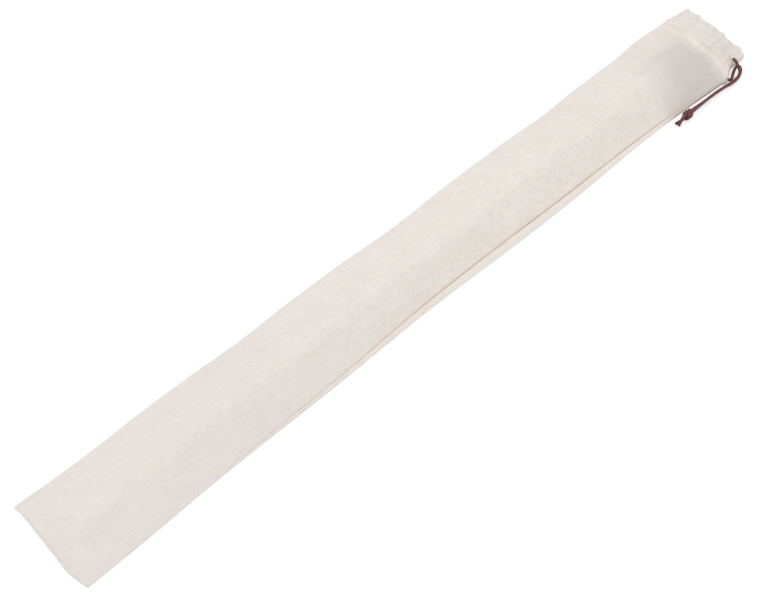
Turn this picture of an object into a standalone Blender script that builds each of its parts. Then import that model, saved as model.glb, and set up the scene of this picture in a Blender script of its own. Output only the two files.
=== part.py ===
"""A transverse bamboo flute lying in its long drawstring cloth bag.

Metres, +Z up. The bag lies on its back cloth with its length along X: closed end at -X,
gathered mouth at +X, folded side at +Y, sewn side and drawstring at -Y. The origin is
the middle of the footprint. The flute slides out of the mouth along its own axis, and
its foot section slides on a brass tenon for tuning.
"""

import bpy
import bmesh
from math import acos, atan, atan2, cos, pi, radians, sin, sqrt
from mathutils import Matrix, Vector

# Gap kept between pieces that rest on, or fit into, each other
SLIP = 0.0003

# Bag cloth
CLOTH = 0.0007
THROAT_LENGTH = 0.075
BAG_WIDTH = 0.080
END_BULGE = 0.0042
END_BULGE_AT = -0.018
END_BULGE_SPREAD = 0.042
SEAM_SWING = 0.007
SEAM_SWING_FROM = 0.205
SEAM_SWING_TO = 0.805
FOLD_DRAW_IN = 0.004
HEM_DEPTH = 0.030
HEM_RAMP = 0.007
MOUTH_LEAN = 0.85
MOUTH_SKEW = 0.14
MOUTH_CORNER = 0.006
FOLD_RADIUS = 0.0004
STRIP_WIDTH = 0.0075
STRIP_MIN = 0.0022
STRIP_CENTRE = 0.435
STRIP_SPREAD = 0.260
STRIP_HEIGHT = 0.0026
STRIP_BEVEL = 0.0006
SLOPE_HOLLOW = 0.014
SLOPE_HOLLOW_RAMP = 0.025
LIFT_FLAT = 0.007
LIFT_REACH = 0.022
GATHER = 0.0012
END_PINCH = 0.4
END_RISE_FROM = -0.006

# Drawstring
CORD_DIAMETER = 0.0026
CHANNEL_PLAY = 0.00035
CORD_LANE_TOP = 0.0165
CORD_LANE_SIDE = 0.0095
CORD_COLUMNS_OUT = 4
SLOT_PLAY = 0.00028
SLOT_POINTS = 5
KNOT_LENGTH = 0.0115
KNOT_RADIUS = 0.00425
KNOT_END_RADIUS = 0.0033
KNOT_LEAD = 0.003

# The knot's place and the chosen points of the free cords, from the mouth's sewn corner
KNOT_PLACE = (-0.11300, -0.00315, 0.00445)
UPPER_STRAND = ((-0.03220, 0.01205, 0.0141), (-0.03200, 0.00585, 0.0131),
                (-0.03320, 0.00035, 0.0104), (-0.03550, -0.00335, 0.0070),
                (-0.04000, -0.00555, 0.0050), (-0.04700, -0.00575, 0.0045),
                (-0.06000, -0.00495, 0.0044), (-0.07800, -0.00365, 0.0044),
                (-0.09200, -0.00345, 0.0048))
LOWER_STRAND = ((-0.03300, 0.00225, 0.0024), (-0.03680, -0.00255, 0.0020),
                (-0.04600, -0.00355, 0.0015), (-0.06000, -0.00295, 0.0015),
                (-0.07800, -0.00215, 0.0015), (-0.09200, -0.00245, 0.0018))
UPPER_TAIL = ((-0.12200, -0.00365, 0.0057), (-0.12570, -0.00475, 0.0042),
              (-0.12920, -0.00595, 0.0026))
LOWER_TAIL = ((-0.12200, -0.00265, 0.0026), (-0.12500, -0.00175, 0.0018),
              (-0.12770, -0.00075, 0.0015))

# Flute, measured along its axis from the head end
DIZI_LENGTH = 0.630
DIZI_FROM_CLOSED_END = 0.025
DIZI_OFFSET = -0.008
TUBE_RADIUS = 0.0103
BORE_RADIUS = 0.0076
BINDING_WALL = 0.0004
BINDING_GAP = 0.0002
END_RING_LENGTH = 0.010
END_RING_LIP = 0.0015
END_RING_WALL = 0.0011
JOINT_FROM_BLOW_HOLE = 0.038
FERRULE_LENGTH = 0.013
FERRULE_WALL = 0.0006
TENON_REACH = 0.025
TENON_TAIL = 0.012
TENON_WALL = 0.0007
TENON_PLAY = 0.0001
SOCKET_WALL = 0.0006
SOCKET_SEAT = 0.0002
BLOW_HOLE_AT = 0.150
BLOW_HOLE = (0.0105, 0.0090)
CORK_LENGTH = 0.014
CORK_TO_BLOW_HOLE = 0.0080
MEMBRANE_FROM_BLOW_HOLE = 0.075
MEMBRANE_HOLE = (0.0080, 0.0070)
MEMBRANE_MARGIN = 0.0035
MEMBRANE_FILM = 0.00015
FIRST_FINGER_FROM_BLOW_HOLE = 0.150
FINGER_PITCHES = (0.025, 0.025, 0.028, 0.028, 0.028)
FINGER_HOLE = (0.0098, 0.0085)
BACK_HOLES_FROM_BLOW_HOLE = (0.322, 0.338)
FRONT_HOLES_FROM_BLOW_HOLE = (0.362, 0.380)
TONE_HOLE = (0.0075, 0.0070)

# Thread bindings: what each one is measured from, the distance to its middle, its width
HEAD_BINDINGS = (("head", 0.0165, 0.007), ("head", 0.0300, 0.005), ("head", 0.0600, 0.005),
                 ("blow hole", -0.056, 0.006), ("blow hole", -0.026, 0.006), ("joint", -0.0185, 0.006))
FOOT_BINDINGS = (("joint", 0.0185, 0.006), ("membrane", 0.0185, 0.006), ("fingers", -0.020, 0.008),
                 ("fingers", 0.064, 0.007), ("low finger", 0.016, 0.008), ("low finger", 0.028, 0.005),
                 ("back hole", 0.012, 0.006), ("foot", -0.084, 0.006), ("foot", -0.054, 0.005),
                 ("foot", -0.030, 0.005), ("foot", -0.0165, 0.007))

# How finely the round pieces are divided
FLUTE_SIDES = 32
CROWN_STEPS = 8
FOLD_SLOPE_STEPS = 8
FOLD_STEPS = 6
FLOOR_STEPS = 10
SEAM_STEPS = 6
SEAM_SLOPE_STEPS = 6

# Sizes that follow from the ones above
RING_RADIUS = TUBE_RADIUS + BINDING_GAP + BINDING_WALL
CLEAR_RADIUS = RING_RADIUS + SLIP
CORD_RADIUS = CORD_DIAMETER / 2
CHANNEL = CORD_DIAMETER + 2 * CHANNEL_PLAY
HEM_STACK = 2 * CLOTH + CHANNEL
FOOT_END = DIZI_FROM_CLOSED_END + DIZI_LENGTH
HEM_START = FOOT_END + THROAT_LENGTH
BAG_LENGTH = HEM_START + HEM_DEPTH
SLIDE_RISE = (HEM_STACK - CLOTH) / (HEM_START - DIZI_FROM_CLOSED_END)
SLIDE_ANGLE = atan(SLIDE_RISE)
JOINT_AT = BLOW_HOLE_AT + JOINT_FROM_BLOW_HOLE
FINGER_HOLES = [BLOW_HOLE_AT + FIRST_FINGER_FROM_BLOW_HOLE + sum(FINGER_PITCHES[:k])
                for k in range(len(FINGER_PITCHES) + 1)]
ANCHORS = {
    "head": 0.0,
    "blow hole": BLOW_HOLE_AT,
    "joint": JOINT_AT,
    "membrane": BLOW_HOLE_AT + MEMBRANE_FROM_BLOW_HOLE,
    "fingers": FINGER_HOLES[0],
    "low finger": FINGER_HOLES[-1],
    "back hole": BLOW_HOLE_AT + BACK_HOLES_FROM_BLOW_HOLE[-1],
    "foot": DIZI_LENGTH,
}
COLUMNS = (CROWN_STEPS + FOLD_SLOPE_STEPS + FOLD_STEPS + FLOOR_STEPS + SEAM_STEPS
           + SEAM_SLOPE_STEPS)


def smooth(value, low, high):
    """0 below low, 1 above high, and an even S curve between them."""
    t = min(1.0, max(0.0, (value - low) / (high - low)))
    return t * t * (3 - 2 * t)


def hump(value, centre, spread):
    """1 at the centre, falling to 0 one spread away on either side."""
    return 1 - smooth(abs(value - centre), 0.0, spread)


def mix(a, b, t):
    return a + (b - a) * t


# Scene, materials and object helpers

def clear_scene():
    for thing in list(bpy.data.objects):
        bpy.data.objects.remove(thing, do_unlink=True)


def new_collection(name):
    group = bpy.data.collections.new(name)
    bpy.context.scene.collection.children.link(group)
    return group


def new_material(name, colour, roughness, metallic=0.0):
    material = bpy.data.materials.new(name)
    material.use_nodes = True
    shader = material.node_tree.nodes["Principled BSDF"]
    shader.inputs["Base Color"].default_value = (*colour, 1.0)
    shader.inputs["Roughness"].default_value = roughness
    shader.inputs["Metallic"].default_value = metallic
    return material


def add_object(name, data, group, material=None, parent=None):
    thing = bpy.data.objects.new(name, data)
    group.objects.link(thing)
    if material:
        data.materials.append(material)
    thing.parent = parent
    return thing


def shade_round(mesh, angle=40):
    mesh.shade_smooth()
    mesh.set_sharp_from_angle(angle=radians(angle))


def mesh_from(bm, name):
    mesh = bpy.data.meshes.new(name)
    bm.to_mesh(mesh)
    bm.free()
    return mesh


def turned(name, profile, group, material, parent):
    """A closed profile of (radius, distance along the axis) turned about local Z."""
    bm = bmesh.new()
    points = [bm.verts.new((radius, 0.0, along)) for radius, along in profile]
    for first, second in zip(points, points[1:] + points[:1]):
        bm.edges.new((first, second))
    thing = add_object(name, mesh_from(bm, name), group, material, parent)
    screw = thing.modifiers.new("turn", "SCREW")
    screw.axis = "Z"
    screw.steps = FLUTE_SIDES
    screw.render_steps = FLUTE_SIDES
    screw.use_merge_vertices = True
    screw.merge_threshold = 0.00001
    screw.use_smooth_shade = True
    return thing


def tube(name, points, radius, group, material=None):
    """A round cord through the points, with flat closed ends."""
    curve = bpy.data.curves.new(name, "CURVE")
    curve.dimensions = "3D"
    curve.bevel_depth = radius
    curve.bevel_resolution = 2
    curve.use_fill_caps = True
    spline = curve.splines.new("POLY")
    spline.points.add(len(points) - 1)
    for place, point in zip(spline.points, points):
        place.co = (*point, 1.0)
    return add_object(name, curve, group, material)


def as_mesh(thing, group):
    """The same shape as a welded mesh object, in place of a curve object."""
    depsgraph = bpy.context.evaluated_depsgraph_get()
    mesh = bpy.data.meshes.new_from_object(thing.evaluated_get(depsgraph))
    bm = bmesh.new()
    bm.from_mesh(mesh)
    bmesh.ops.remove_doubles(bm, verts=bm.verts, dist=0.00001)
    bm.to_mesh(mesh)
    bm.free()
    name = thing.name
    placed = thing.matrix_world.copy()
    bpy.data.objects.remove(thing, do_unlink=True)
    copy = add_object(name, mesh, group)
    copy.matrix_world = placed
    return copy


def hide_cutter(cutter):
    cutter.hide_render = True
    cutter.display_type = "WIRE"


def cut(thing, cutter):
    hide_cutter(cutter)
    boolean = thing.modifiers.new("cut " + cutter.name, "BOOLEAN")
    boolean.operation = "DIFFERENCE"
    boolean.solver = "EXACT"
    boolean.object = cutter


# Bag shape. Bag coordinates: x from the closed end, y from the middle of the closed end

def seam_edge_at(x):
    """Distance of the sewn edge from the middle of the closed end."""
    return BAG_WIDTH / 2 + SEAM_SWING * smooth(x, SEAM_SWING_FROM, SEAM_SWING_TO)


CENTRE_Y = (seam_edge_at(BAG_LENGTH - HEM_STACK / 2) - BAG_WIDTH / 2) / 2
SEWN_CORNER = Vector((BAG_LENGTH / 2, CENTRE_Y - seam_edge_at(BAG_LENGTH), 0))
KNOT_MIDDLE = SEWN_CORNER + Vector(KNOT_PLACE)


def to_world(x, y, z):
    """From bag coordinates to the world, with the mouth leaning back and cut at a slant."""
    lean = MOUTH_LEAN * max(0.0, z - HEM_STACK / 2)
    slant = MOUTH_SKEW * (BAG_WIDTH / 2 - FOLD_DRAW_IN - HEM_STACK - y)
    corner = MOUTH_CORNER * smooth(-y, BAG_WIDTH / 4, BAG_WIDTH / 2)
    back = (lean + slant + corner) * smooth(x, FOOT_END, HEM_START)
    drawn_in = END_BULGE * (1 - hump(y, END_BULGE_AT, END_BULGE_SPREAD))
    ahead = drawn_in * (1 - smooth(x, 0, DIZI_FROM_CLOSED_END))
    return Vector((x - BAG_LENGTH / 2 - back + ahead, y + CENTRE_Y, z))


def wall_offset(x):
    """How far the bag's outside stands off its innermost layer."""
    sewn = 2 * CLOTH + SLIP
    if x < HEM_START:
        return mix(CLOTH, sewn, smooth(x, HEM_START - HEM_RAMP, HEM_START))
    return mix(sewn, HEM_STACK, smooth(x, HEM_START, HEM_START + HEM_RAMP))


def slide_height(x):
    """Height of the line that the flute's axis lies and slides on."""
    return CLOTH + CLEAR_RADIUS + (x - DIZI_FROM_CLOSED_END) * SLIDE_RISE


def side_circles(x):
    """Centres of the small rounds inside the folded and the sewn edge."""
    offset = wall_offset(x)
    fold_edge = BAG_WIDTH / 2 - FOLD_DRAW_IN * smooth(x, FOOT_END, BAG_LENGTH)
    seam_edge = seam_edge_at(x)
    strip = mix(STRIP_MIN, STRIP_WIDTH, hump(x, STRIP_CENTRE, STRIP_SPREAD))
    strip *= 1 - smooth(x, HEM_START - HEM_RAMP, HEM_START + HEM_RAMP)
    height = offset + FOLD_RADIUS
    fold = Vector((fold_edge - height, height))
    seam = Vector((strip - seam_edge + height, height))
    return fold, seam, -seam_edge, strip


def crown_circle(x):
    """Round over the flute, flat at the closed end and full from the flute's head on."""
    full = sqrt(smooth(x, END_RISE_FROM, DIZI_FROM_CLOSED_END - CLOTH)) if x > CLOTH else 0.0
    radius = mix(FOLD_RADIUS, CLEAR_RADIUS, full)
    height = mix(wall_offset(x) + FOLD_RADIUS, slide_height(x), full)
    return Vector((DIZI_OFFSET, height)), radius


def tangent(crown, radius, side, sign):
    """Outward unit normal of the line that touches the crown and one side round."""
    reach = side - crown
    turn = acos(min(1.0, (radius - FOLD_RADIUS) / reach.length))
    angle = atan2(reach.y, reach.x) + sign * turn
    return Vector((cos(angle), sin(angle)))


def arc(centre, radius, start, end, steps):
    """Points along an arc, without its last point."""
    angles = [mix(start, end, step / steps) for step in range(steps)]
    return [centre + Vector((cos(a), sin(a))) * radius for a in angles]


def line(start, end, steps, hollow=0.0):
    """Points along a slope, without its last point, sunk a little towards its foot."""
    points = []
    for step in range(steps):
        t = step / steps
        point = start.lerp(end, t)
        point.y -= hollow * t * t * (1 - t)
        points.append(point)
    return points


def layer(x, offset):
    """One closed layer of the bag at x: crown, fold slope, fold, floor, seam, seam slope."""
    crown, radius = crown_circle(x)
    fold, seam, seam_edge, strip = side_circles(x)
    to_fold = tangent(crown, radius, fold, 1)
    to_seam = tangent(crown, radius, seam, -1)
    fold_angle = atan2(to_fold.y, to_fold.x)
    seam_angle = atan2(to_seam.y, to_seam.x)
    around = radius + offset
    edge = FOLD_RADIUS + offset
    hollow = SLOPE_HOLLOW * smooth(x, FOOT_END, FOOT_END + SLOPE_HOLLOW_RAMP)
    hollow *= 1 - 0.5 * smooth(x, HEM_START, BAG_LENGTH)

    points = arc(crown, around, seam_angle, fold_angle, CROWN_STEPS)
    points += line(crown + to_fold * around, fold + to_fold * edge, FOLD_SLOPE_STEPS, hollow)
    points += arc(fold, edge, fold_angle, -pi / 2, FOLD_STEPS)
    floor_ends = fold - Vector((0, edge)), seam - Vector((0, edge))
    points += floor_points(x, *floor_ends)
    points += arc(seam, edge, -pi / 2, seam_angle - 2 * pi, SEAM_STEPS)
    points += line(seam + to_seam * edge, crown + to_seam * around, SEAM_SLOPE_STEPS)
    for step in range(SEAM_SLOPE_STEPS):
        t = 1 - step / SEAM_SLOPE_STEPS
        points[COLUMNS - SEAM_SLOPE_STEPS + step].y -= hollow * t * t * (1 - t)
    return points


def floor_points(x, start, end):
    """The back cloth: flat at the sides, raised under the flute to the slide line."""
    lift = slide_height(x) - CLEAR_RADIUS - wall_offset(x)
    lift *= smooth(x, 0.0, DIZI_FROM_CLOSED_END)
    points = line(start, end, FLOOR_STEPS)
    for point in points:
        away = abs(point.x - DIZI_OFFSET)
        point.y += max(0.0, lift) * (1 - smooth(away, LIFT_FLAT, LIFT_REACH))
    return points


def seam_strip(points, x):
    """Swaps the plain seam round of the outside for the flat sewn strip beside it."""
    fold, seam, seam_edge, strip = side_circles(x)
    inner = seam_edge + strip
    bevel = min(STRIP_BEVEL, strip / 4)
    crease = STRIP_HEIGHT - bevel
    shape = [(seam_edge + bevel, 0.0), (seam_edge, STRIP_HEIGHT / 3),
             (seam_edge + bevel / 2, crease), (seam_edge + 2 * bevel, STRIP_HEIGHT),
             (inner - bevel, STRIP_HEIGHT), (inner, crease)]
    weight = smooth(strip, 0.0, STRIP_MIN)
    first = COLUMNS - SEAM_SLOPE_STEPS - SEAM_STEPS
    for step, (y, z) in enumerate(shape):
        plain = points[first + step]
        points[first + step] = plain.lerp(Vector((y, z)), weight)
    return points


def gathered(points, x):
    """Pushes every other group of columns outwards where the drawstring gathers the hem."""
    pull = GATHER * smooth(x, HEM_START - HEM_RAMP / 2, HEM_START + HEM_RAMP)
    last = COLUMNS - SEAM_SLOPE_STEPS - SEAM_STEPS - FLOOR_STEPS
    pushed = list(points)
    for column in range(last):
        along = (points[(column + 1) % COLUMNS] - points[column - 1]).normalized()
        outward = Vector((-along.y, along.x))
        wave = (1 - cos(pi * column / 2)) / 2 * smooth(outward.y, -0.4, 0.2)
        pushed[column] = points[column] + outward * pull * wave
    return pushed


def outside(x, offset):
    points = gathered(seam_strip(layer(x, offset), x), x)
    return [to_world(x, p.x, p.y) for p in points]


def channel_wall(x, offset):
    points = gathered(layer(x, offset), x)
    return [to_world(x, p.x, p.y) for p in points]


def inside(x, offset):
    return [to_world(x, p.x, p.y) for p in layer(x, offset)]


def bag_rings():
    """Rings from the closed end up the outside, round the hem and down the inside."""
    head = DIZI_FROM_CLOSED_END
    ends = [CLOTH + SLIP, 0.2 * head, 0.4 * head, 0.62 * head, 0.82 * head, head - CLOTH]
    spans = [mix(head, FOOT_END, k / 6) for k in range(1, 7)]
    throat = [mix(FOOT_END, HEM_START - HEM_RAMP, k / 3) for k in range(1, 4)]
    ramp = [HEM_START - HEM_RAMP / 2, HEM_START, HEM_START + HEM_RAMP / 3,
            HEM_START + HEM_RAMP]
    body = ends + spans + throat
    rim = BAG_LENGTH - HEM_STACK / 2
    hem = [mix(HEM_START + HEM_RAMP, rim, k / 3) for k in (1, 2)]

    rings = [outside(0.0, END_PINCH * CLOTH)]
    rings += [outside(x, wall_offset(x)) for x in body + ramp + hem + [rim]]
    rings.append(outside(mix(rim, BAG_LENGTH, 0.75), 0.82 * HEM_STACK))
    rings.append(inside(BAG_LENGTH, 0.5 * HEM_STACK))
    rings.append(inside(mix(rim, BAG_LENGTH, 0.75), 0.18 * HEM_STACK))
    rings += [inside(x, 0.0) for x in (rim, hem[1], hem[0], HEM_START + HEM_RAMP, HEM_START)]
    rings += [inside(x, CLOTH) for x in (HEM_START, HEM_START + HEM_RAMP, hem[0], hem[1], rim)]
    rings.append(channel_wall(BAG_LENGTH - CLOTH, 0.5 * HEM_STACK))
    rings += [channel_wall(x, wall_offset(x) - CLOTH) for x in [rim] + hem[::-1] + ramp[::-1]]
    rings += [inside(x, 0.0) for x in body[:0:-1]]
    rings.append(inside(2 * CLOTH, 0.0))
    return rings


def close_end(bm, ring):
    """Closes a ring with a strip of faces that runs from its sewn side to its folded side."""
    sewn = min(range(COLUMNS), key=lambda column: ring[column].co.y)
    ring = ring[sewn:] + ring[:sewn]
    fold = max(range(COLUMNS), key=lambda column: ring[column].co.y)
    upper = ring[:fold + 1]
    lower = [ring[0]] + ring[:fold - 1:-1]
    u = v = 0
    while u < len(upper) - 1 or v < len(lower) - 1:
        corners = [upper[u], lower[v]]
        if v == len(lower) - 1 or u < len(upper) - 1 and upper[u + 1].co.y < lower[v + 1].co.y:
            u += 1
            corners.append(upper[u])
        else:
            v += 1
            corners.append(lower[v])
        if len(set(corners)) == 3:
            bm.faces.new(corners)


def bag_cloth(group, material):
    """One folded cloth with its mouth hem turned in, as a loft through the rings."""
    bm = bmesh.new()
    rings = [[bm.verts.new(point) for point in ring] for ring in bag_rings()]
    for ring, following in zip(rings, rings[1:]):
        for column in range(COLUMNS):
            beside = (column + 1) % COLUMNS
            bm.faces.new((ring[column], ring[beside], following[beside], following[column]))
    close_end(bm, rings[0])
    close_end(bm, rings[-1])
    bmesh.ops.recalc_face_normals(bm, faces=bm.faces)
    mesh = mesh_from(bm, "bag_cloth")
    shade_round(mesh, 50)
    return add_object("bag_cloth", mesh, group, material)


# Drawstring

def cord_lane(column):
    """Centre of the cord in the hem's channel at one column of the cloth."""
    t = column / (COLUMNS - SEAM_STEPS - SEAM_SLOPE_STEPS)
    x = HEM_START + mix(CORD_LANE_TOP, CORD_LANE_SIDE, smooth(t, 0.4, 1.0))
    point = layer(x, CLOTH + CHANNEL / 2)[column % COLUMNS]
    return to_world(x, point.x, point.y)


def hem_cord_points():
    first = CORD_COLUMNS_OUT - SEAM_SLOPE_STEPS
    last = COLUMNS - SEAM_STEPS - SEAM_SLOPE_STEPS
    return [cord_lane(column) for column in range(first, last)]


def along_curve(knots, spacing):
    """Evenly spaced points on a smooth curve through the chosen ones."""
    fine = []
    padded = [knots[0] * 2 - knots[1]] + knots + [knots[-1] * 2 - knots[-2]]
    for a, b, c, d in zip(padded, padded[1:], padded[2:], padded[3:]):
        for step in range(20):
            t = step / 20
            fine.append(0.5 * (2 * b + (c - a) * t + (2 * a - 5 * b + 4 * c - d) * t ** 2
                               + (3 * b - a - 3 * c + d) * t ** 3))
    fine.append(knots[-1])
    total = sum((q - p).length for p, q in zip(fine, fine[1:]))
    count = round(total / spacing)
    points = [fine[0]]
    walked = 0.0
    for p, q in zip(fine, fine[1:]):
        step = (q - p).length
        while len(points) < count and walked + step >= len(points) * total / count:
            rest = len(points) * total / count - walked
            points.append(p.lerp(q, rest / step))
        walked += step
    points.append(fine[-1])
    return points


def going_on(end, before_end):
    """Two points that carry a cord straight on from another's end, after a small gap."""
    ahead = (end - before_end).normalized()
    return [end + ahead * SLIP, end + ahead * (SLIP + 2 * CORD_DIAMETER)]


# Each route starts in the hem's channel, or at the knot, and is in world metres

def knot_face(side, height):
    return KNOT_MIDDLE + Vector((side * (KNOT_LENGTH / 2 + SLIP), 0, height))


def chosen(points):
    return [SEWN_CORNER + Vector(point) for point in points]


def strand_route(end, before_end, points, height):
    knot_end = knot_face(1, height)
    return going_on(end, before_end) + chosen(points) + [knot_end + Vector((KNOT_LEAD, 0, 0)),
                                                         knot_end]


def tail_route(points, height):
    return [knot_face(-1, height)] + chosen(points)


def knot(group, material):
    """The lump of the overhand knot, with a flat face at each end for the strands."""
    half = KNOT_LENGTH / 2
    profile = [(0.0, half), (KNOT_END_RADIUS, half), (KNOT_RADIUS, 0.55 * half),
               (KNOT_RADIUS, -0.55 * half), (KNOT_END_RADIUS, -half), (0.0, -half)]
    bm = bmesh.new()
    points = [bm.verts.new((radius, 0.0, along)) for radius, along in profile]
    for first, second in zip(points, points[1:]):
        bm.edges.new((first, second))
    thing = add_object("drawstring_knot", mesh_from(bm, "drawstring_knot"), group, material)
    screw = thing.modifiers.new("turn", "SCREW")
    screw.steps = 16
    screw.render_steps = 16
    screw.use_merge_vertices = True
    screw.merge_threshold = 0.00001
    thing.rotation_euler = (0, pi / 2, 0)
    thing.location = KNOT_MIDDLE
    return thing


def drawstring(bag, group, cutters, material):
    """The cord in the hem, its two free strands, their knot and the two tails."""
    lane = hem_cord_points()
    apart = CORD_RADIUS + SLIP / 2
    tube("drawstring_in_hem", lane, CORD_RADIUS, group, material)
    strands = {
        "drawstring_upper_strand": strand_route(lane[0], lane[1], UPPER_STRAND, apart),
        "drawstring_lower_strand": strand_route(lane[-1], lane[-2], LOWER_STRAND, -apart),
    }
    for name, route in strands.items():
        points = along_curve(route, 2 * CORD_DIAMETER)
        tube(name, points, CORD_RADIUS, group, material)
        way_out = tube(name + "_slot", points[:SLOT_POINTS], CORD_RADIUS + SLOT_PLAY, cutters)
        cut(bag, as_mesh(way_out, cutters))
    knot(group, material)
    tails = {
        "drawstring_upper_tail": tail_route(UPPER_TAIL, apart),
        "drawstring_lower_tail": tail_route(LOWER_TAIL, -apart),
    }
    for name, route in tails.items():
        tube(name, along_curve(route, 1.2 * CORD_DIAMETER), CORD_RADIUS, group, material)


# Flute. Local Z runs along its axis from the head end, and local -X is the playing side

def bored(thing, cutters, parent, along, size, side):
    """Cuts one oval hole through the wall, on the playing side (-1) or the back (1)."""
    bm = bmesh.new()
    bmesh.ops.create_cone(bm, cap_ends=True, segments=20, radius1=0.5, radius2=0.5, depth=1.0)
    wall = TUBE_RADIUS - BORE_RADIUS
    length, width = size
    bmesh.ops.scale(bm, verts=bm.verts, vec=(length, width, 4 * wall))
    bmesh.ops.rotate(bm, verts=bm.verts, matrix=Matrix.Rotation(pi / 2, 3, "Y"))
    middle = Vector((side * (TUBE_RADIUS + BORE_RADIUS) / 2, 0, along))
    bmesh.ops.translate(bm, verts=bm.verts, vec=middle)
    cutter = add_object("hole_at_%03d" % round(along * 1000), mesh_from(bm, "hole"), cutters,
                        parent=parent)
    cut(thing, cutter)


def end_ring(name, group, material, parent, start, outwards):
    """A turned ring over one end of the bamboo. outwards is -1 at the head, 1 at the foot."""
    inner = RING_RADIUS - END_RING_WALL
    chamfer = END_RING_WALL / 2
    away = [(RING_RADIUS, 0.0), (RING_RADIUS, END_RING_LENGTH - chamfer),
            (RING_RADIUS - chamfer, END_RING_LENGTH), (BORE_RADIUS, END_RING_LENGTH),
            (BORE_RADIUS, END_RING_LENGTH - END_RING_LIP),
            (inner, END_RING_LENGTH - END_RING_LIP), (inner, 0.0)]
    profile = [(radius, start + outwards * along) for radius, along in away]
    if outwards > 0:
        profile.reverse()
    return turned(name, profile, group, material, parent)


def binding(name, group, material, parent, entry):
    anchor, offset, width = entry
    middle = ANCHORS[anchor] + offset
    inner = TUBE_RADIUS + BINDING_GAP
    profile = [(RING_RADIUS, middle + width / 2), (RING_RADIUS, middle - width / 2),
               (inner, middle - width / 2), (inner, middle + width / 2)]
    return turned(name, profile, group, material, parent)


def membrane(group, material, parent):
    """The thin reed film glued over its hole, a curved patch on the bamboo."""
    length, width = MEMBRANE_HOLE
    across = width / 2 + MEMBRANE_MARGIN
    half = length / 2 + MEMBRANE_MARGIN
    radius = TUBE_RADIUS + BINDING_GAP + MEMBRANE_FILM
    bm = bmesh.new()
    bmesh.ops.create_grid(bm, x_segments=10, y_segments=2, size=1.0)
    for vert in bm.verts:
        turn = vert.co.x * across / radius
        vert.co = (-radius * cos(turn), radius * sin(turn), ANCHORS["membrane"] + vert.co.y * half)
    thing = add_object("dimo_membrane", mesh_from(bm, "dimo_membrane"), group, material, parent)
    solidify = thing.modifiers.new("film", "SOLIDIFY")
    solidify.thickness = MEMBRANE_FILM
    solidify.offset = 1.0
    return thing


def head_section(group, cutters, materials, parent):
    seat = RING_RADIUS - END_RING_WALL - SLIP
    step = END_RING_LENGTH + SLIP
    ferrule_seat = RING_RADIUS - FERRULE_WALL - SLIP
    ferrule_start = JOINT_AT - FERRULE_LENGTH
    lip = JOINT_AT - FERRULE_WALL
    bottom = JOINT_AT - TENON_REACH - SLIP
    tenon = BORE_RADIUS + TENON_WALL
    socket = tenon + TENON_PLAY
    lining = socket + SOCKET_WALL
    counterbore = lining + SOCKET_SEAT
    bamboo = [(ferrule_seat, lip - SLIP), (ferrule_seat, ferrule_start - SLIP),
              (TUBE_RADIUS, ferrule_start - SLIP), (TUBE_RADIUS, step), (seat, step),
              (seat, END_RING_LIP + SLIP), (BORE_RADIUS, END_RING_LIP + SLIP),
              (BORE_RADIUS, bottom - SLIP), (counterbore, bottom - SLIP), (counterbore, lip - SLIP)]
    tube_piece = turned("head_tube", bamboo, group, materials["bamboo"], parent)
    bored(tube_piece, cutters, parent, BLOW_HOLE_AT, BLOW_HOLE, -1)
    end_ring("head_end_ring", group, materials["bone"], parent, END_RING_LENGTH, -1)

    brass = [(RING_RADIUS, JOINT_AT), (RING_RADIUS, ferrule_start),
             (RING_RADIUS - FERRULE_WALL, ferrule_start), (RING_RADIUS - FERRULE_WALL, lip),
             (lining, lip), (lining, bottom), (socket, bottom), (socket, JOINT_AT)]
    turned("joint_socket", brass, group, materials["brass"], parent)

    bm = bmesh.new()
    bmesh.ops.create_cone(bm, cap_ends=True, segments=FLUTE_SIDES, radius1=BORE_RADIUS - SLIP,
                          radius2=BORE_RADIUS - SLIP, depth=CORK_LENGTH)
    cork_middle = BLOW_HOLE_AT - CORK_TO_BLOW_HOLE - CORK_LENGTH / 2
    bmesh.ops.translate(bm, verts=bm.verts, vec=(0, 0, cork_middle))
    add_object("cork_stopper", mesh_from(bm, "cork_stopper"), group, materials["cork"], parent)
    for number, entry in enumerate(HEAD_BINDINGS, 1):
        binding("head_binding_%d" % number, group, materials["thread"], parent, entry)


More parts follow.
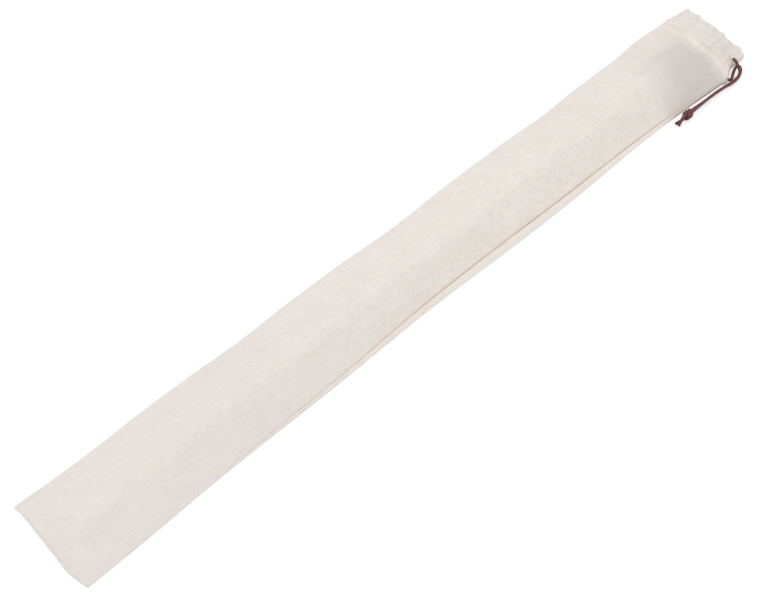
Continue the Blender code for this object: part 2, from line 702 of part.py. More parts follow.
def foot_section(group, cutters, materials, parent):
    start = JOINT_AT + SLIP
    lip = start + FERRULE_WALL
    ferrule_end = start + FERRULE_LENGTH
    tail = ferrule_end + TENON_TAIL
    tenon = BORE_RADIUS + TENON_WALL
    tip = JOINT_AT - TENON_REACH
    brass = [(RING_RADIUS, ferrule_end), (RING_RADIUS, start), (tenon, start), (tenon, tip),
             (BORE_RADIUS, tip), (BORE_RADIUS, tail), (tenon, tail), (tenon, lip),
             (RING_RADIUS - FERRULE_WALL, lip), (RING_RADIUS - FERRULE_WALL, ferrule_end)]
    turned("joint_tenon", brass, group, materials["brass"], parent)

    seat = RING_RADIUS - END_RING_WALL - SLIP
    ferrule_seat = RING_RADIUS - FERRULE_WALL - SLIP
    counterbore = tenon + SOCKET_SEAT
    foot_step = DIZI_LENGTH - END_RING_LENGTH - SLIP
    foot_face = DIZI_LENGTH - END_RING_LIP - SLIP
    bamboo = [(seat, foot_face), (seat, foot_step), (TUBE_RADIUS, foot_step),
              (TUBE_RADIUS, ferrule_end + SLIP), (ferrule_seat, ferrule_end + SLIP),
              (ferrule_seat, lip + SLIP), (counterbore, lip + SLIP), (counterbore, tail + SLIP),
              (BORE_RADIUS, tail + SLIP), (BORE_RADIUS, foot_face)]
    tube_piece = turned("foot_tube", bamboo, group, materials["bamboo"], parent)
    bored(tube_piece, cutters, parent, ANCHORS["membrane"], MEMBRANE_HOLE, -1)
    for along in FINGER_HOLES:
        bored(tube_piece, cutters, parent, along, FINGER_HOLE, -1)
    for distance in FRONT_HOLES_FROM_BLOW_HOLE:
        bored(tube_piece, cutters, parent, BLOW_HOLE_AT + distance, TONE_HOLE, -1)
    for distance in BACK_HOLES_FROM_BLOW_HOLE:
        bored(tube_piece, cutters, parent, BLOW_HOLE_AT + distance, TONE_HOLE, 1)
    membrane(group, materials["membrane"], parent)
    end_ring("foot_end_ring", group, materials["bone"], parent, DIZI_LENGTH - END_RING_LENGTH, 1)
    for number, entry in enumerate(FOOT_BINDINGS, 1):
        binding("foot_binding_%02d" % number, group, materials["thread"], parent, entry)


def main():
    clear_scene()
    parts = new_collection("dizi_in_drawstring_bag")
    cutters = new_collection("cutters")
    materials = {
        "linen": new_material("linen", (0.80, 0.75, 0.69), 0.9),
        "cord": new_material("cord", (0.10, 0.03, 0.03), 0.8),
        "bamboo": new_material("bamboo", (0.55, 0.36, 0.17), 0.35),
        "bone": new_material("bone", (0.82, 0.77, 0.65), 0.4),
        "brass": new_material("brass", (0.70, 0.50, 0.22), 0.25, 1.0),
        "cork": new_material("cork", (0.45, 0.28, 0.15), 0.9),
        "thread": new_material("thread", (0.05, 0.012, 0.012), 0.45),
        "membrane": new_material("membrane", (0.85, 0.82, 0.72), 0.5),
    }
    bag = bag_cloth(parts, materials["linen"])
    drawstring(bag, parts, cutters, materials["cord"])

    head = add_object("dizi_axis", None, parts)
    head.location = to_world(DIZI_FROM_CLOSED_END, DIZI_OFFSET, slide_height(DIZI_FROM_CLOSED_END))
    head.rotation_euler = (0, pi / 2 - SLIDE_ANGLE, 0)
    foot = add_object("foot_section_axis", None, parts, parent=head)
    head_section(parts, cutters, materials, head)
    foot_section(parts, cutters, materials, foot)


main()
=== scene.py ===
"""Looks of a bamboo dizi put away in its long linen drawstring bag.

The bag is a loft of one folded cloth with its hem, gathers and sewn side. The cord and
its knot, the stitching and the whole flute inside are built in mesh code as well.
"""

from math import acos, atan2, cos, exp, hypot, pi, sin, sqrt

import bmesh
import bpy
from mathutils import Matrix, Vector, noise


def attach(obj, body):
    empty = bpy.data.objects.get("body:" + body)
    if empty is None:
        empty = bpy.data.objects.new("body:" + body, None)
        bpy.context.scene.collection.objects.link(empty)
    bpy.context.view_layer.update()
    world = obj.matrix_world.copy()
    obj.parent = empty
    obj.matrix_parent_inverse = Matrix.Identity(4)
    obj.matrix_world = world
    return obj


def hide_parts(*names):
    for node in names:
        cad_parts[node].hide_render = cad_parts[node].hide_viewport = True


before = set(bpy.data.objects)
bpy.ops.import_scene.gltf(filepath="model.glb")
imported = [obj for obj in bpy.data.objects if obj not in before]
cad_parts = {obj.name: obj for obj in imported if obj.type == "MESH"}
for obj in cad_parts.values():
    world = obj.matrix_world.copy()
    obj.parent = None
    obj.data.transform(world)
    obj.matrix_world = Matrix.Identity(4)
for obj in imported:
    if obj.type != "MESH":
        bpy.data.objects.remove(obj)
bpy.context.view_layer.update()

# Bag sizes, in metres, as in the part's source
SLIP = 0.0003
CLOTH = 0.0007
THROAT_LENGTH = 0.075
BAG_WIDTH = 0.080
END_BULGE = 0.0042
END_BULGE_AT = -0.018
END_BULGE_SPREAD = 0.042
SEAM_SWING = 0.007
SEAM_SWING_FROM = 0.205
SEAM_SWING_TO = 0.805
FOLD_DRAW_IN = 0.004
HEM_DEPTH = 0.030
HEM_RAMP = 0.007
MOUTH_LEAN = 0.85
MOUTH_SKEW = 0.14
MOUTH_CORNER = 0.006
FOLD_RADIUS = 0.0004
STRIP_WIDTH = 0.0075
STRIP_MIN = 0.0022
STRIP_CENTRE = 0.435
STRIP_SPREAD = 0.260
STRIP_HEIGHT = 0.0026
SLOPE_HOLLOW = 0.014
SLOPE_HOLLOW_RAMP = 0.025
LIFT_FLAT = 0.007
LIFT_REACH = 0.022
GATHER = 0.0012
GATHER_PITCH = 0.0105
RIPPLE = 0.0004
RIPPLE_PITCH = 0.0044
STITCH_PITCH = 0.0030
STITCH_LENGTH = 0.0021
STITCH_RADIUS = 0.00019
END_PINCH = 0.4
END_RISE_FROM = -0.006

# Drawstring sizes. Strands and tails are in millimetres from the mouth's sewn corner.
CORD_DIAMETER = 0.0026
CHANNEL_PLAY = 0.00035
CORD_LANE_TOP = 0.0165
CORD_LANE_SIDE = 0.0095
LAID_RADIUS = 0.0014
PLIES = 3
LAY_PITCH = 0.0075
LAY_DEPTH = 0.10
WORN_END = 0.0006
WORN_BY = 0.45
HOLE_PLAY = 0.0001
KNOT_LENGTH = 0.0115
KNOT_TURNS = 1.35
KNOT_PLACE = (-0.11300, -0.00315, 0.00445)
UPPER_STRAND = ((-30.2, 15.5, 12.4), (-30.1, 13.7, 11.8), (-30.2, 11.9, 11.4), (-30.4, 10, 11.3),
                (-33.1, 4.8, 12.8), (-34.6, 1.5, 11.7), (-35.4, -1.2, 10.2), (-36.4, -3.5, 8.5),
                (-38, -5, 6.9), (-40.8, -5.8, 5.5), (-44.7, -6, 4.8), (-53, -5.6, 4.5),
                (-62, -4.7, 4.4), (-78, -3.7, 4.4), (-92, -3.4, 4.8))
LOWER_STRAND = ((-41.2, 8.9, 2.4), (-44.5, 5.4, 2.3), (-46.2, 2.9, 2.1), (-46.8, 0.8, 1.8),
                (-46.5, -0.8, 1.7), (-45.1, -1.8, 2.1), (-43.1, -1.5, 3.3), (-39.2, 0.4, 5.2),
                (-36.2, 1.5, 5.9), (-33.1, 2.3, 6.3), (-30.4, 2.4, 6.4), (-29.4, 0.9, 6.3),
                (-30.5, -1.3, 5.7), (-32.6, -3.1, 4.7), (-35.2, -4.3, 3.5), (-38.5, -5.1, 2.4),
                (-42.6, -5.3, 1.7), (-50, -4.9, 1.5), (-62, -2.9, 1.5), (-78, -2.2, 1.5),
                (-92, -2.4, 1.8))
UPPER_TAIL = ((-122, -3.45, 5.7), (-125.5, -4.35, 4.3), (-129, -5.35, 2.7))
LOWER_TAIL = ((-122, -2.65, 2.4), (-124.8, -1.95, 1.7), (-127.6, -1.15, 1.5))
# Which of a cord's points, counted from the hem, pass through the cloth
WAY_OUT = {"upper": (7, 31), "lower": (8, 52)}

# Flute sizes, measured along its axis from the head end
DIZI_LENGTH = 0.630
DIZI_FROM_CLOSED_END = 0.025
DIZI_OFFSET = -0.008
TUBE_RADIUS = 0.0103
BORE_RADIUS = 0.0076
BINDING_WALL = 0.0004
BINDING_GAP = 0.0002
BINDING_PITCH = 0.00042
BINDING_GROOVE = 0.00014
END_RING_LENGTH = 0.010
END_RING_LIP = 0.0015
END_RING_WALL = 0.0011
BLOW_HOLE_AT = 0.150
BLOW_HOLE = (0.0105, 0.0090)
JOINT_AT = BLOW_HOLE_AT + 0.038
FERRULE_LENGTH = 0.013
FERRULE_WALL = 0.0006
TENON_REACH = 0.025
TENON_TAIL = 0.012
TENON_WALL = 0.0007
TENON_PLAY = 0.0001
SOCKET_WALL = 0.0006
SOCKET_SEAT = 0.0002
BRASS_EDGE = 0.00022
CORK_LENGTH = 0.014
CORK_TO_BLOW_HOLE = 0.0080
CORK_EDGE = 0.0006
MEMBRANE_AT = BLOW_HOLE_AT + 0.075
MEMBRANE_HOLE = (0.0080, 0.0070)
MEMBRANE_MARGIN = 0.0035
MEMBRANE_FILM = 0.00015
FINGER_HOLES = tuple(BLOW_HOLE_AT + 0.150 + d for d in (0, 0.025, 0.050, 0.078, 0.106, 0.134))
FINGER_HOLE = (0.0098, 0.0085)
BACK_HOLES = (BLOW_HOLE_AT + 0.322, BLOW_HOLE_AT + 0.338)
FRONT_HOLES = (BLOW_HOLE_AT + 0.362, BLOW_HOLE_AT + 0.380)
TONE_HOLE = (0.0075, 0.0070)
NODE_RIDGE = 0.00034
NODE_GROOVE = 0.00022
SKIN_WAVE = 0.00006
HEAD_NODES = (0.076,)
FOOT_NODES = (0.262, 0.456)

# Sizes that follow from the ones above
RING_RADIUS = TUBE_RADIUS + BINDING_GAP + BINDING_WALL
CLEAR_RADIUS = RING_RADIUS + SLIP
RING_SEAT = RING_RADIUS - END_RING_WALL
FERRULE_SEAT = RING_RADIUS - FERRULE_WALL
UNDER_RING = RING_SEAT - SLIP
UNDER_FERRULE = FERRULE_SEAT - SLIP
TENON_RADIUS = BORE_RADIUS + TENON_WALL
CORD_RADIUS = CORD_DIAMETER / 2
CHANNEL = CORD_DIAMETER + 2 * CHANNEL_PLAY
HEM_STACK = 2 * CLOTH + CHANNEL
FOOT_END = DIZI_FROM_CLOSED_END + DIZI_LENGTH
HEM_START = FOOT_END + THROAT_LENGTH
BAG_LENGTH = HEM_START + HEM_DEPTH
SLIDE_RISE = (HEM_STACK - CLOTH) / (HEM_START - DIZI_FROM_CLOSED_END)
HEAD_BINDINGS = ((0.0165, 0.007), (0.0300, 0.005), (0.0600, 0.005), (0.094, 0.006),
                 (0.124, 0.006), (JOINT_AT - 0.0185, 0.006))
FOOT_BINDINGS = ((JOINT_AT + 0.0185, 0.006), (MEMBRANE_AT + 0.0185, 0.006),
                 (FINGER_HOLES[0] - 0.020, 0.008), (FINGER_HOLES[0] + 0.064, 0.007),
                 (FINGER_HOLES[-1] + 0.016, 0.008), (FINGER_HOLES[-1] + 0.028, 0.005),
                 (BACK_HOLES[-1] + 0.012, 0.006), (DIZI_LENGTH - 0.084, 0.006),
                 (DIZI_LENGTH - 0.054, 0.005), (DIZI_LENGTH - 0.030, 0.005),
                 (DIZI_LENGTH - 0.0165, 0.007))

# How far the slack cloth is drawn out or in at its edges and corners, as the photo shows it
FOLD_CORNER_OUT = 0.0040
FOLD_CORNER_IN = 0.0015
SEWN_CORNER_OUT = 0.0014
SEWN_CORNER_IN = 0.0046
SEWN_CORNER_LIFT = 0.0026
SEWN_STAND = 0.85
NECK_WIDER = 0.0036
END_IN = 0.0010
END_SEWN_IN = 0.0008
END_CORNER_ROUND = 0.0032
END_SEWN_WIDER = 0.0037
SEWN_EDGE = 0.041
TIP_FROM = 0.742
# Low waves of its edges, each with its place, reach and depth
RIM_WAVES = ((-0.0262, 0.0125, -0.0062), (0.0185, 0.0075, 0.0038))
END_WAVES = ((0.0200, 0.0190, -0.0013), (-0.0075, 0.0110, 0.0008))
HEM_SIDE_WAVES = ((0.7430, 0.0150, 0.0052), (0.7275, 0.0085, -0.0022))
FOLD_DIPS = ((0.055, 0.065, 0.0014), (0.205, 0.055, 0.0014), (0.370, 0.070, 0.0020),
             (0.553, 0.045, 0.0018))
SEWN_DIPS = ((0.150, 0.110, 0.0014), (0.330, 0.110, 0.0016), (0.610, 0.140, 0.0034))

# How finely the cloth is divided: around its section, and along the bag
CROWN_STEPS = 36
FOLD_SLOPE_STEPS = 40
FOLD_STEPS = 12
FLOOR_STEPS = 30
SEAM_STEPS = 20
SEAM_SLOPE_STEPS = 26
COLUMNS = CROWN_STEPS + FOLD_SLOPE_STEPS + FOLD_STEPS + FLOOR_STEPS + SEAM_STEPS + SEAM_SLOPE_STEPS
SEAM_FIRST = COLUMNS - SEAM_SLOPE_STEPS - SEAM_STEPS
GROOVE = SEAM_FIRST + SEAM_STEPS - 1
FINE_UNTIL = 0.04
FINE_FROM = 0.66
# Where the sewn strip's outline runs: distance in from the edge as a share of its width, height
STRIP_OUTLINE = ((0.07, 0.0), (0.0, 0.14), (0.03, 0.34), (0.15, 0.58), (0.38, 0.84), (0.65, 0.98),
                 (0.90, 0.95), (0.98, 0.70), (1.03, 0.60))

# The photo's camera, the floor, and the softboxes with their place, power and size
LENS = 59.952
FLOOR_SIZE = 12.0
FLOOR_DROP = 0.0004
CAMERA_RIGHT = Vector((0.703307, -0.709881, 0.037799))
CAMERA_UP = Vector((0.546353, 0.573782, 0.610141))
CAMERA_BACK = Vector((-0.454816, -0.408465, 0.791391))
CAMERA_PLACE = (-0.513345, -0.398693, 0.768589)
SOFTBOXES = {"key_softbox": ((-0.60, 0.25, 1.30), 2.1, 0.5),
             "top_softbox": ((0.16, 0.06, 1.75), 1.9, 0.5)}


def smooth(value, low, high):
    """0 below low, 1 above high, and an even S curve between them."""
    t = min(1.0, max(0.0, (value - low) / (high - low)))
    return t * t * (3 - 2 * t)


def hump(value, centre, spread):
    """1 at the centre, falling to 0 one spread away on either side."""
    return 1 - smooth(abs(value - centre), 0.0, spread)


def waves(value, humps):
    return sum(depth * hump(value, at, wide) for at, wide, depth in humps)


def mix(a, b, t):
    return a + (b - a) * t


def noisy(*place):
    return noise.noise(Vector(place))


def spread(start, end, spacing):
    """Places from start to end, both included, about one spacing apart."""
    count = max(1, round(abs(end - start) / spacing))
    return [mix(start, end, k / count) for k in range(count + 1)]


# The cloth

def seam_edge_at(x):
    return BAG_WIDTH / 2 + SEAM_SWING * smooth(x, SEAM_SWING_FROM, SEAM_SWING_TO)


CENTRE_Y = (seam_edge_at(BAG_LENGTH - HEM_STACK / 2) - BAG_WIDTH / 2) / 2
SEWN_CORNER = Vector((BAG_LENGTH / 2, CENTRE_Y - seam_edge_at(BAG_LENGTH), 0))
KNOT_MIDDLE = SEWN_CORNER + Vector(KNOT_PLACE)


def to_world(x, y, z):
    """From bag coordinates to the world, with the mouth leaning back and cut at a slant."""
    lean = MOUTH_LEAN * max(0.0, z - HEM_STACK / 2)
    slant = MOUTH_SKEW * (BAG_WIDTH / 2 - FOLD_DRAW_IN - HEM_STACK - y)
    corner = MOUTH_CORNER * smooth(-y, BAG_WIDTH / 4, BAG_WIDTH / 2)
    back = (lean + slant + corner) * smooth(x, FOOT_END, HEM_START)
    drawn_in = END_BULGE * (1 - hump(y, END_BULGE_AT, END_BULGE_SPREAD))
    ahead = drawn_in * (1 - smooth(x, 0, DIZI_FROM_CLOSED_END))
    return Vector((x - BAG_LENGTH / 2 - back + ahead, y + CENTRE_Y, z))


def settled(x, y, z):
    """From bag coordinates to the world for the cloth, with its slack set as in the photo."""
    half = HEM_STACK / 2
    stood_up = SEWN_STAND * smooth(-y, 0.016, SEWN_EDGE)
    place = to_world(x, y, half + (z - half) * (1 - stood_up) if z > half else z)
    place.z = z
    tip = smooth(x, TIP_FROM, BAG_LENGTH)
    fold_corner = smooth(x, HEM_START, BAG_LENGTH) * smooth(y, 0.008, 0.036)
    sewn_corner = tip * smooth(-y, 0.012, SEWN_EDGE)
    corners_out = FOLD_CORNER_OUT * fold_corner + SEWN_CORNER_OUT * sewn_corner
    place.x += corners_out + waves(place.y, RIM_WAVES) * tip
    neck = smooth(y, 0.012, 0.038) * smooth(x, 0.655, 0.700) * (1 - smooth(x, 0.722, 0.748))
    place.y += NECK_WIDER * neck - FOLD_CORNER_IN * fold_corner + SEWN_CORNER_IN * sewn_corner
    place.z += SEWN_CORNER_LIFT * sewn_corner
    place.y += waves(x, HEM_SIDE_WAVES) * smooth(-y, 0.020, SEWN_EDGE)
    end = 1 - smooth(x, 0.0, 0.040)
    ends_in = END_IN * smooth(BAG_WIDTH / 2 - y, 0.0, 0.020)
    ends_in += END_SEWN_IN * smooth(-y, 0.020, 0.044)
    place.x += end * ends_in
    place.x += end * waves(place.y, END_WAVES)
    place.x += END_CORNER_ROUND * smooth(-y, 0.0355, 0.0415) * (1 - smooth(x, 0.0, 0.007))
    place.y -= END_SEWN_WIDER * smooth(-y, 0.010, SEWN_EDGE) * (1 - smooth(x, 0.0, 0.26))
    place.y -= waves(x, FOLD_DIPS) * smooth(y, 0.018, BAG_WIDTH / 2)
    place.y += waves(x, SEWN_DIPS) * smooth(-y, 0.018, BAG_WIDTH / 2)
    return place


def wall_offset(x):
    """How far the bag's outside stands off its innermost layer."""
    sewn = 2 * CLOTH + SLIP
    if x < HEM_START:
        return mix(CLOTH, sewn, smooth(x, HEM_START - HEM_RAMP, HEM_START))
    return mix(sewn, HEM_STACK, smooth(x, HEM_START, HEM_START + HEM_RAMP))


def slide_height(x):
    return CLOTH + CLEAR_RADIUS + (x - DIZI_FROM_CLOSED_END) * SLIDE_RISE


def side_rounds(x):
    """Centres of the small rounds in the folded and the sewn edge, that edge, its strip's width."""
    fold_edge = BAG_WIDTH / 2 - FOLD_DRAW_IN * smooth(x, FOOT_END, BAG_LENGTH)
    seam_edge = seam_edge_at(x)
    strip = mix(STRIP_MIN, STRIP_WIDTH, hump(x, STRIP_CENTRE, STRIP_SPREAD))
    strip *= 1 - smooth(x, HEM_START - HEM_RAMP, HEM_START + HEM_RAMP)
    height = wall_offset(x) + FOLD_RADIUS
    fold = Vector((fold_edge - height, height))
    seam = Vector((strip - seam_edge + height, height))
    return fold, seam, -seam_edge, strip


def crown_round(x):
    """Round over the flute, flat at the closed end and full from the flute's head on."""
    full = sqrt(smooth(x, END_RISE_FROM, DIZI_FROM_CLOSED_END - CLOTH)) if x > CLOTH else 0.0
    radius = mix(FOLD_RADIUS, CLEAR_RADIUS, full)
    height = mix(wall_offset(x) + FOLD_RADIUS, slide_height(x), full)
    return Vector((DIZI_OFFSET, height)), radius


def tangent(crown, radius, side, sign):
    """Direction, and its angle, in which one side's slope touches the rounds at both its ends."""
    reach = side - crown
    turn = acos(min(1.0, (radius - FOLD_RADIUS) / reach.length))
    angle = atan2(reach.y, reach.x) + sign * turn
    way = Vector((cos(angle), sin(angle)))
    return way, atan2(way.y, way.x)


def arc(centre, radius, start, end, steps):
    angles = [mix(start, end, step / steps) for step in range(steps)]
    return [centre + Vector((cos(a), sin(a))) * radius for a in angles]


def slope(start, end, steps, hollow, foot_first=False):
    """Points down, or up, one side of the bag, sunk a little towards the slope's foot."""
    points = []
    for step in range(steps):
        t = step / steps
        point = start.lerp(end, t)
        down = 1 - t if foot_first else t
        point.y -= hollow * down * down * (1 - down)
        points.append(point)
    return points


def floor_line(x, start, end):
    """The back cloth: flat at the sides, raised under the flute to the slide line."""
    lift = max(0.0, slide_height(x) - CLEAR_RADIUS - wall_offset(x))
    lift *= smooth(x, 0.0, DIZI_FROM_CLOSED_END)
    points = [start.lerp(end, step / FLOOR_STEPS) for step in range(FLOOR_STEPS)]
    for point in points:
        point.y += lift * (1 - smooth(abs(point.x - DIZI_OFFSET), LIFT_FLAT, LIFT_REACH))
    return points


def section(x, offset):
    """One closed layer of the bag at x: crown, fold slope, fold, floor, seam, seam slope."""
    crown, radius = crown_round(x)
    fold, seam, _, _ = side_rounds(x)
    to_fold, fold_angle = tangent(crown, radius, fold, 1)
    to_seam, seam_angle = tangent(crown, radius, seam, -1)
    around = radius + offset
    edge = FOLD_RADIUS + offset
    hollow = SLOPE_HOLLOW * smooth(x, FOOT_END, FOOT_END + SLOPE_HOLLOW_RAMP)
    hollow *= 1 - 0.5 * smooth(x, HEM_START, BAG_LENGTH)
    points = arc(crown, around, seam_angle, fold_angle, CROWN_STEPS)
    points += slope(crown + to_fold * around, fold + to_fold * edge, FOLD_SLOPE_STEPS, hollow)
    points += arc(fold, edge, fold_angle, -pi / 2, FOLD_STEPS)
    points += floor_line(x, fold - Vector((0, edge)), seam - Vector((0, edge)))
    points += arc(seam, edge, -pi / 2, seam_angle - 2 * pi, SEAM_STEPS)
    points += slope(seam + to_seam * edge, crown + to_seam * around, SEAM_SLOPE_STEPS, hollow,
                    foot_first=True)
    return points


def with_strip(points, x):
    """Swaps the plain seam round of the outside for the flat sewn strip beside it."""
    _, _, seam_edge, strip = side_rounds(x)
    weight = smooth(strip, 0.0, STRIP_MIN) * smooth(x, 0.06, 0.20)
    for step in range(SEAM_STEPS):
        along = step / SEAM_STEPS * (len(STRIP_OUTLINE) - 1)
        k = int(along)
        share, height = Vector(STRIP_OUTLINE[k]).lerp(Vector(STRIP_OUTLINE[k + 1]), along - k)
        place = Vector((seam_edge + share * strip, height * STRIP_HEIGHT))
        points[SEAM_FIRST + step] = points[SEAM_FIRST + step].lerp(place, weight)
    return points


def gather_height(x, walked):
    """How far the drawstring's gathers push the cloth out, walked metres round from the crown."""
    drift = 3.6 * noisy(walked * 46, x * 14, 4.0)
    strength = 0.75 + 1.1 * noisy(walked * 60, 9.0, x * 20)
    wave = (1 - cos(2 * pi * walked / GATHER_PITCH + drift)) / 2
    below = 0.40 * smooth(x, HEM_START - 0.030, HEM_START)
    above = 0.55 + 0.45 * smooth(x, BAG_LENGTH - 0.018, BAG_LENGTH)
    hem = smooth(x, HEM_START - HEM_RAMP / 2, HEM_START + HEM_RAMP)
    ripple = (1 - cos(2 * pi * walked / RIPPLE_PITCH + 2.5 * drift)) / 2
    return GATHER * strength * wave * mix(below, above, hem) + RIPPLE * ripple * hem


def crease_height(x, y):
    """A fold pressed into the hem near its folded corner, with a hollow beside it."""
    raised = 0.0011 * hump(y, 0.0300, 0.0035) - 0.0005 * hump(y, 0.0245, 0.0030)
    return raised * smooth(x, HEM_START + 0.008, HEM_START + 0.018)


def wrinkle_height(x, y):
    """Soft waves of the slack cloth, 0 where it lies on the flute's crown."""
    broad = noisy(x * 21, y * 34, 1.7)
    fine = noisy(x * 62 + y * 30, y * 75 - x * 12, 8.2)
    slack = smooth(abs(y - DIZI_OFFSET), 0.006, 0.020) * (1 - smooth(abs(y), 0.033, 0.040))
    ends = 1 + 1.2 * hump(x, FOOT_END + 0.012, 0.04) + 0.7 * hump(x, 0.012, 0.03)
    return slack * ends * (0.00055 * broad + 0.00018 * fine)


def distances(ring):
    """Metres walked round a ring to each of its points, counted from the crown's middle."""
    walked = [0.0]
    for a, b in zip(ring, ring[1:] + ring[:1]):
        walked.append(walked[-1] + (b - a).length)
    middle = walked[CROWN_STEPS // 2]
    return [w - middle for w in walked]


def cloth_ring(x, offset, outer):
    """One finished ring of the bag in world metres, with the distance round it."""
    points = section(x, offset)
    if offset > wall_offset(x) - 0.7 * CLOTH:
        points = with_strip(points, x)
    reached = distances(section(x, wall_offset(x)) if x > CLOTH else points)
    moved = list(points)
    scallop = [0.0] * COLUMNS
    for column, point in enumerate(points):
        if SEAM_FIRST - FLOOR_STEPS <= column < SEAM_FIRST + SEAM_STEPS:
            continue
        along = (points[(column + 1) % COLUMNS] - points[column - 1]).normalized()
        outward = Vector((-along.y, along.x))
        up = smooth(outward.y, -0.4, 0.2)
        push = wrinkle_height(x, point.x)
        if outer:
            round_about = reached[column] - (reached[-1] if column >= SEAM_FIRST else 0.0)
            near_seam = smooth(abs(column - SEAM_FIRST - SEAM_STEPS), 0, 6)
            gather = gather_height(x, round_about) * near_seam
            push += gather + crease_height(x, point.x)
            scallop[column] = gather * up * smooth(x, BAG_LENGTH - 0.014, BAG_LENGTH) * 0.50
        moved[column] = point + outward * push * up
    placed = [settled(x, p.x, p.y) + Vector((out, 0, 0)) for p, out in zip(moved, scallop)]
    return placed, distances(moved)


def cloth_path():
    """(x, offset, is it on the outside) of each ring, up the outside and down the inside."""
    half = HEM_STACK / 2
    rim = BAG_LENGTH - half
    ramp_start, ramp_end = HEM_START - HEM_RAMP, HEM_START + HEM_RAMP
    steps = [(0.0, END_PINCH * CLOTH, True), (0.3 * CLOTH, 0.8 * CLOTH, True)]
    outside = spread(CLOTH + SLIP, FINE_UNTIL, 0.0012) + spread(FINE_UNTIL, FINE_FROM, 0.0022)[1:]
    outside += spread(FINE_FROM, rim, 0.0010)[1:]
    steps += [(x, wall_offset(x), True) for x in outside]
    for k in range(1, 9):
        angle = k * pi / 8
        steps.append((rim + half * sin(angle), half * (1 + cos(angle)), k < 4))
    steps += [(x, 0.0, False) for x in spread(rim, HEM_START, 0.0016)[1:]]
    steps += [(x, CLOTH, False) for x in spread(HEM_START, rim, 0.004)]
    steps.append((BAG_LENGTH - CLOTH, half, True))
    channel = spread(rim, ramp_end, 0.004) + spread(ramp_end, ramp_start, 0.002)[1:]
    steps += [(x, wall_offset(x) - CLOTH, True) for x in channel]
    inside = spread(ramp_start, FINE_UNTIL, 0.006)[1:] + spread(FINE_UNTIL, 2 * CLOTH, 0.003)[1:]
    return steps + [(x, 0.0, False) for x in inside]


def close_end(bm, ring):
    """Closes a ring with a strip of faces that runs from its sewn side to its folded side."""
    sewn = min(range(len(ring)), key=lambda column: ring[column].co.y)
    ring = ring[sewn:] + ring[:sewn]
    fold = max(range(len(ring)), key=lambda column: ring[column].co.y)
    upper = ring[:fold + 1]
    lower = [ring[0]] + ring[:fold - 1:-1]
    u = v = 0
    while u < len(upper) - 1 or v < len(lower) - 1:
        corners = [upper[u], lower[v]]
        if v == len(lower) - 1 or u < len(upper) - 1 and upper[u + 1].co.y < lower[v + 1].co.y:
            u += 1
            corners.append(upper[u])
        else:
            v += 1
            corners.append(lower[v])
        if len(set(corners)) == 3:
            bm.faces.new(corners)


def finished(bm, name, material):
    """The mesh as a smooth piece in the scene."""
    bmesh.ops.recalc_face_normals(bm, faces=bm.faces)
    mesh = bpy.data.meshes.new(name)
    bm.to_mesh(mesh)
    bm.free()
    mesh.shade_smooth()
    if material:
        mesh.materials.append(material)
    piece = bpy.data.objects.new(name, mesh)
    bpy.context.scene.collection.objects.link(piece)
    return piece


def woven_skin(bm, rows, threads, sewing=None):
    """Joins rows of (corners, metres along, metres round to each) and lays out their threads."""
    for (ring, x, around), (above, x_above, around_above) in zip(rows, rows[1:]):
        for j in range(len(ring)):
            beside = (j + 1) % len(ring)
            face = bm.faces.new((ring[j], ring[beside], above[beside], above[j]))
            corners = ((x, around, j), (x, around, j + 1), (x_above, around_above, j + 1),
                       (x_above, around_above, j))
            for loop, (along, walked, at) in zip(face.loops, corners):
                loop[threads].uv = (along, walked[at])
                if sewing is not None:
                    loop[sewing].uv = (walked[at] - walked[GROOVE], along)


def bag(material):
    """One folded cloth with its mouth hem turned in. Its UV map is metres of cloth."""
    bm = bmesh.new()
    threads = bm.loops.layers.uv.new("threads")
    sewing = bm.loops.layers.uv.new("sewing")
    rows = []
    for x, offset, outer in cloth_path():
        ring, walked = cloth_ring(x, offset, outer)
        rows.append(([bm.verts.new(point) for point in ring], x, walked))
    woven_skin(bm, rows, threads, sewing)
    close_end(bm, rows[0][0])
    close_end(bm, rows[-1][0])
    return finished(bm, "linen_bag", material)


# The cord and the thread

def along_curve(knots, spacing):
    """Evenly spaced points on a smooth curve through the chosen ones."""
    fine = []
    padded = [knots[0] * 2 - knots[1]] + knots + [knots[-1] * 2 - knots[-2]]
    for a, b, c, d in zip(padded, padded[1:], padded[2:], padded[3:]):
        for step in range(20):
            t = step / 20
            fine.append(0.5 * (2 * b + (c - a) * t + (2 * a - 5 * b + 4 * c - d) * t ** 2
                               + (3 * b - a - 3 * c + d) * t ** 3))
    fine.append(knots[-1])
    total = route_length(fine)
    count = round(total / spacing)
    points = [fine[0]]
    walked = 0.0
    for p, q in zip(fine, fine[1:]):
        step = (q - p).length
        while len(points) < count and walked + step >= len(points) * total / count:
            rest = len(points) * total / count - walked
            points.append(p.lerp(q, rest / step))
        walked += step
    points.append(fine[-1])
    return points


def route_length(points):
    return sum((b - a).length for a, b in zip(points, points[1:]))


def circle(sides):
    return [2 * pi * j / sides for j in range(sides)]


def bridge(bm, rings):
    """Joins rings of corners with a band of faces from each to the next."""
    for ring, above in zip(rings, rings[1:]):
        for j in range(len(ring)):
            beside = (j + 1) % len(ring)
            bm.faces.new((ring[j], ring[beside], above[beside], above[j]))


def capped(bm, rings):
    bridge(bm, rings)
    bm.faces.new(rings[0])
    bm.faces.new(rings[-1])


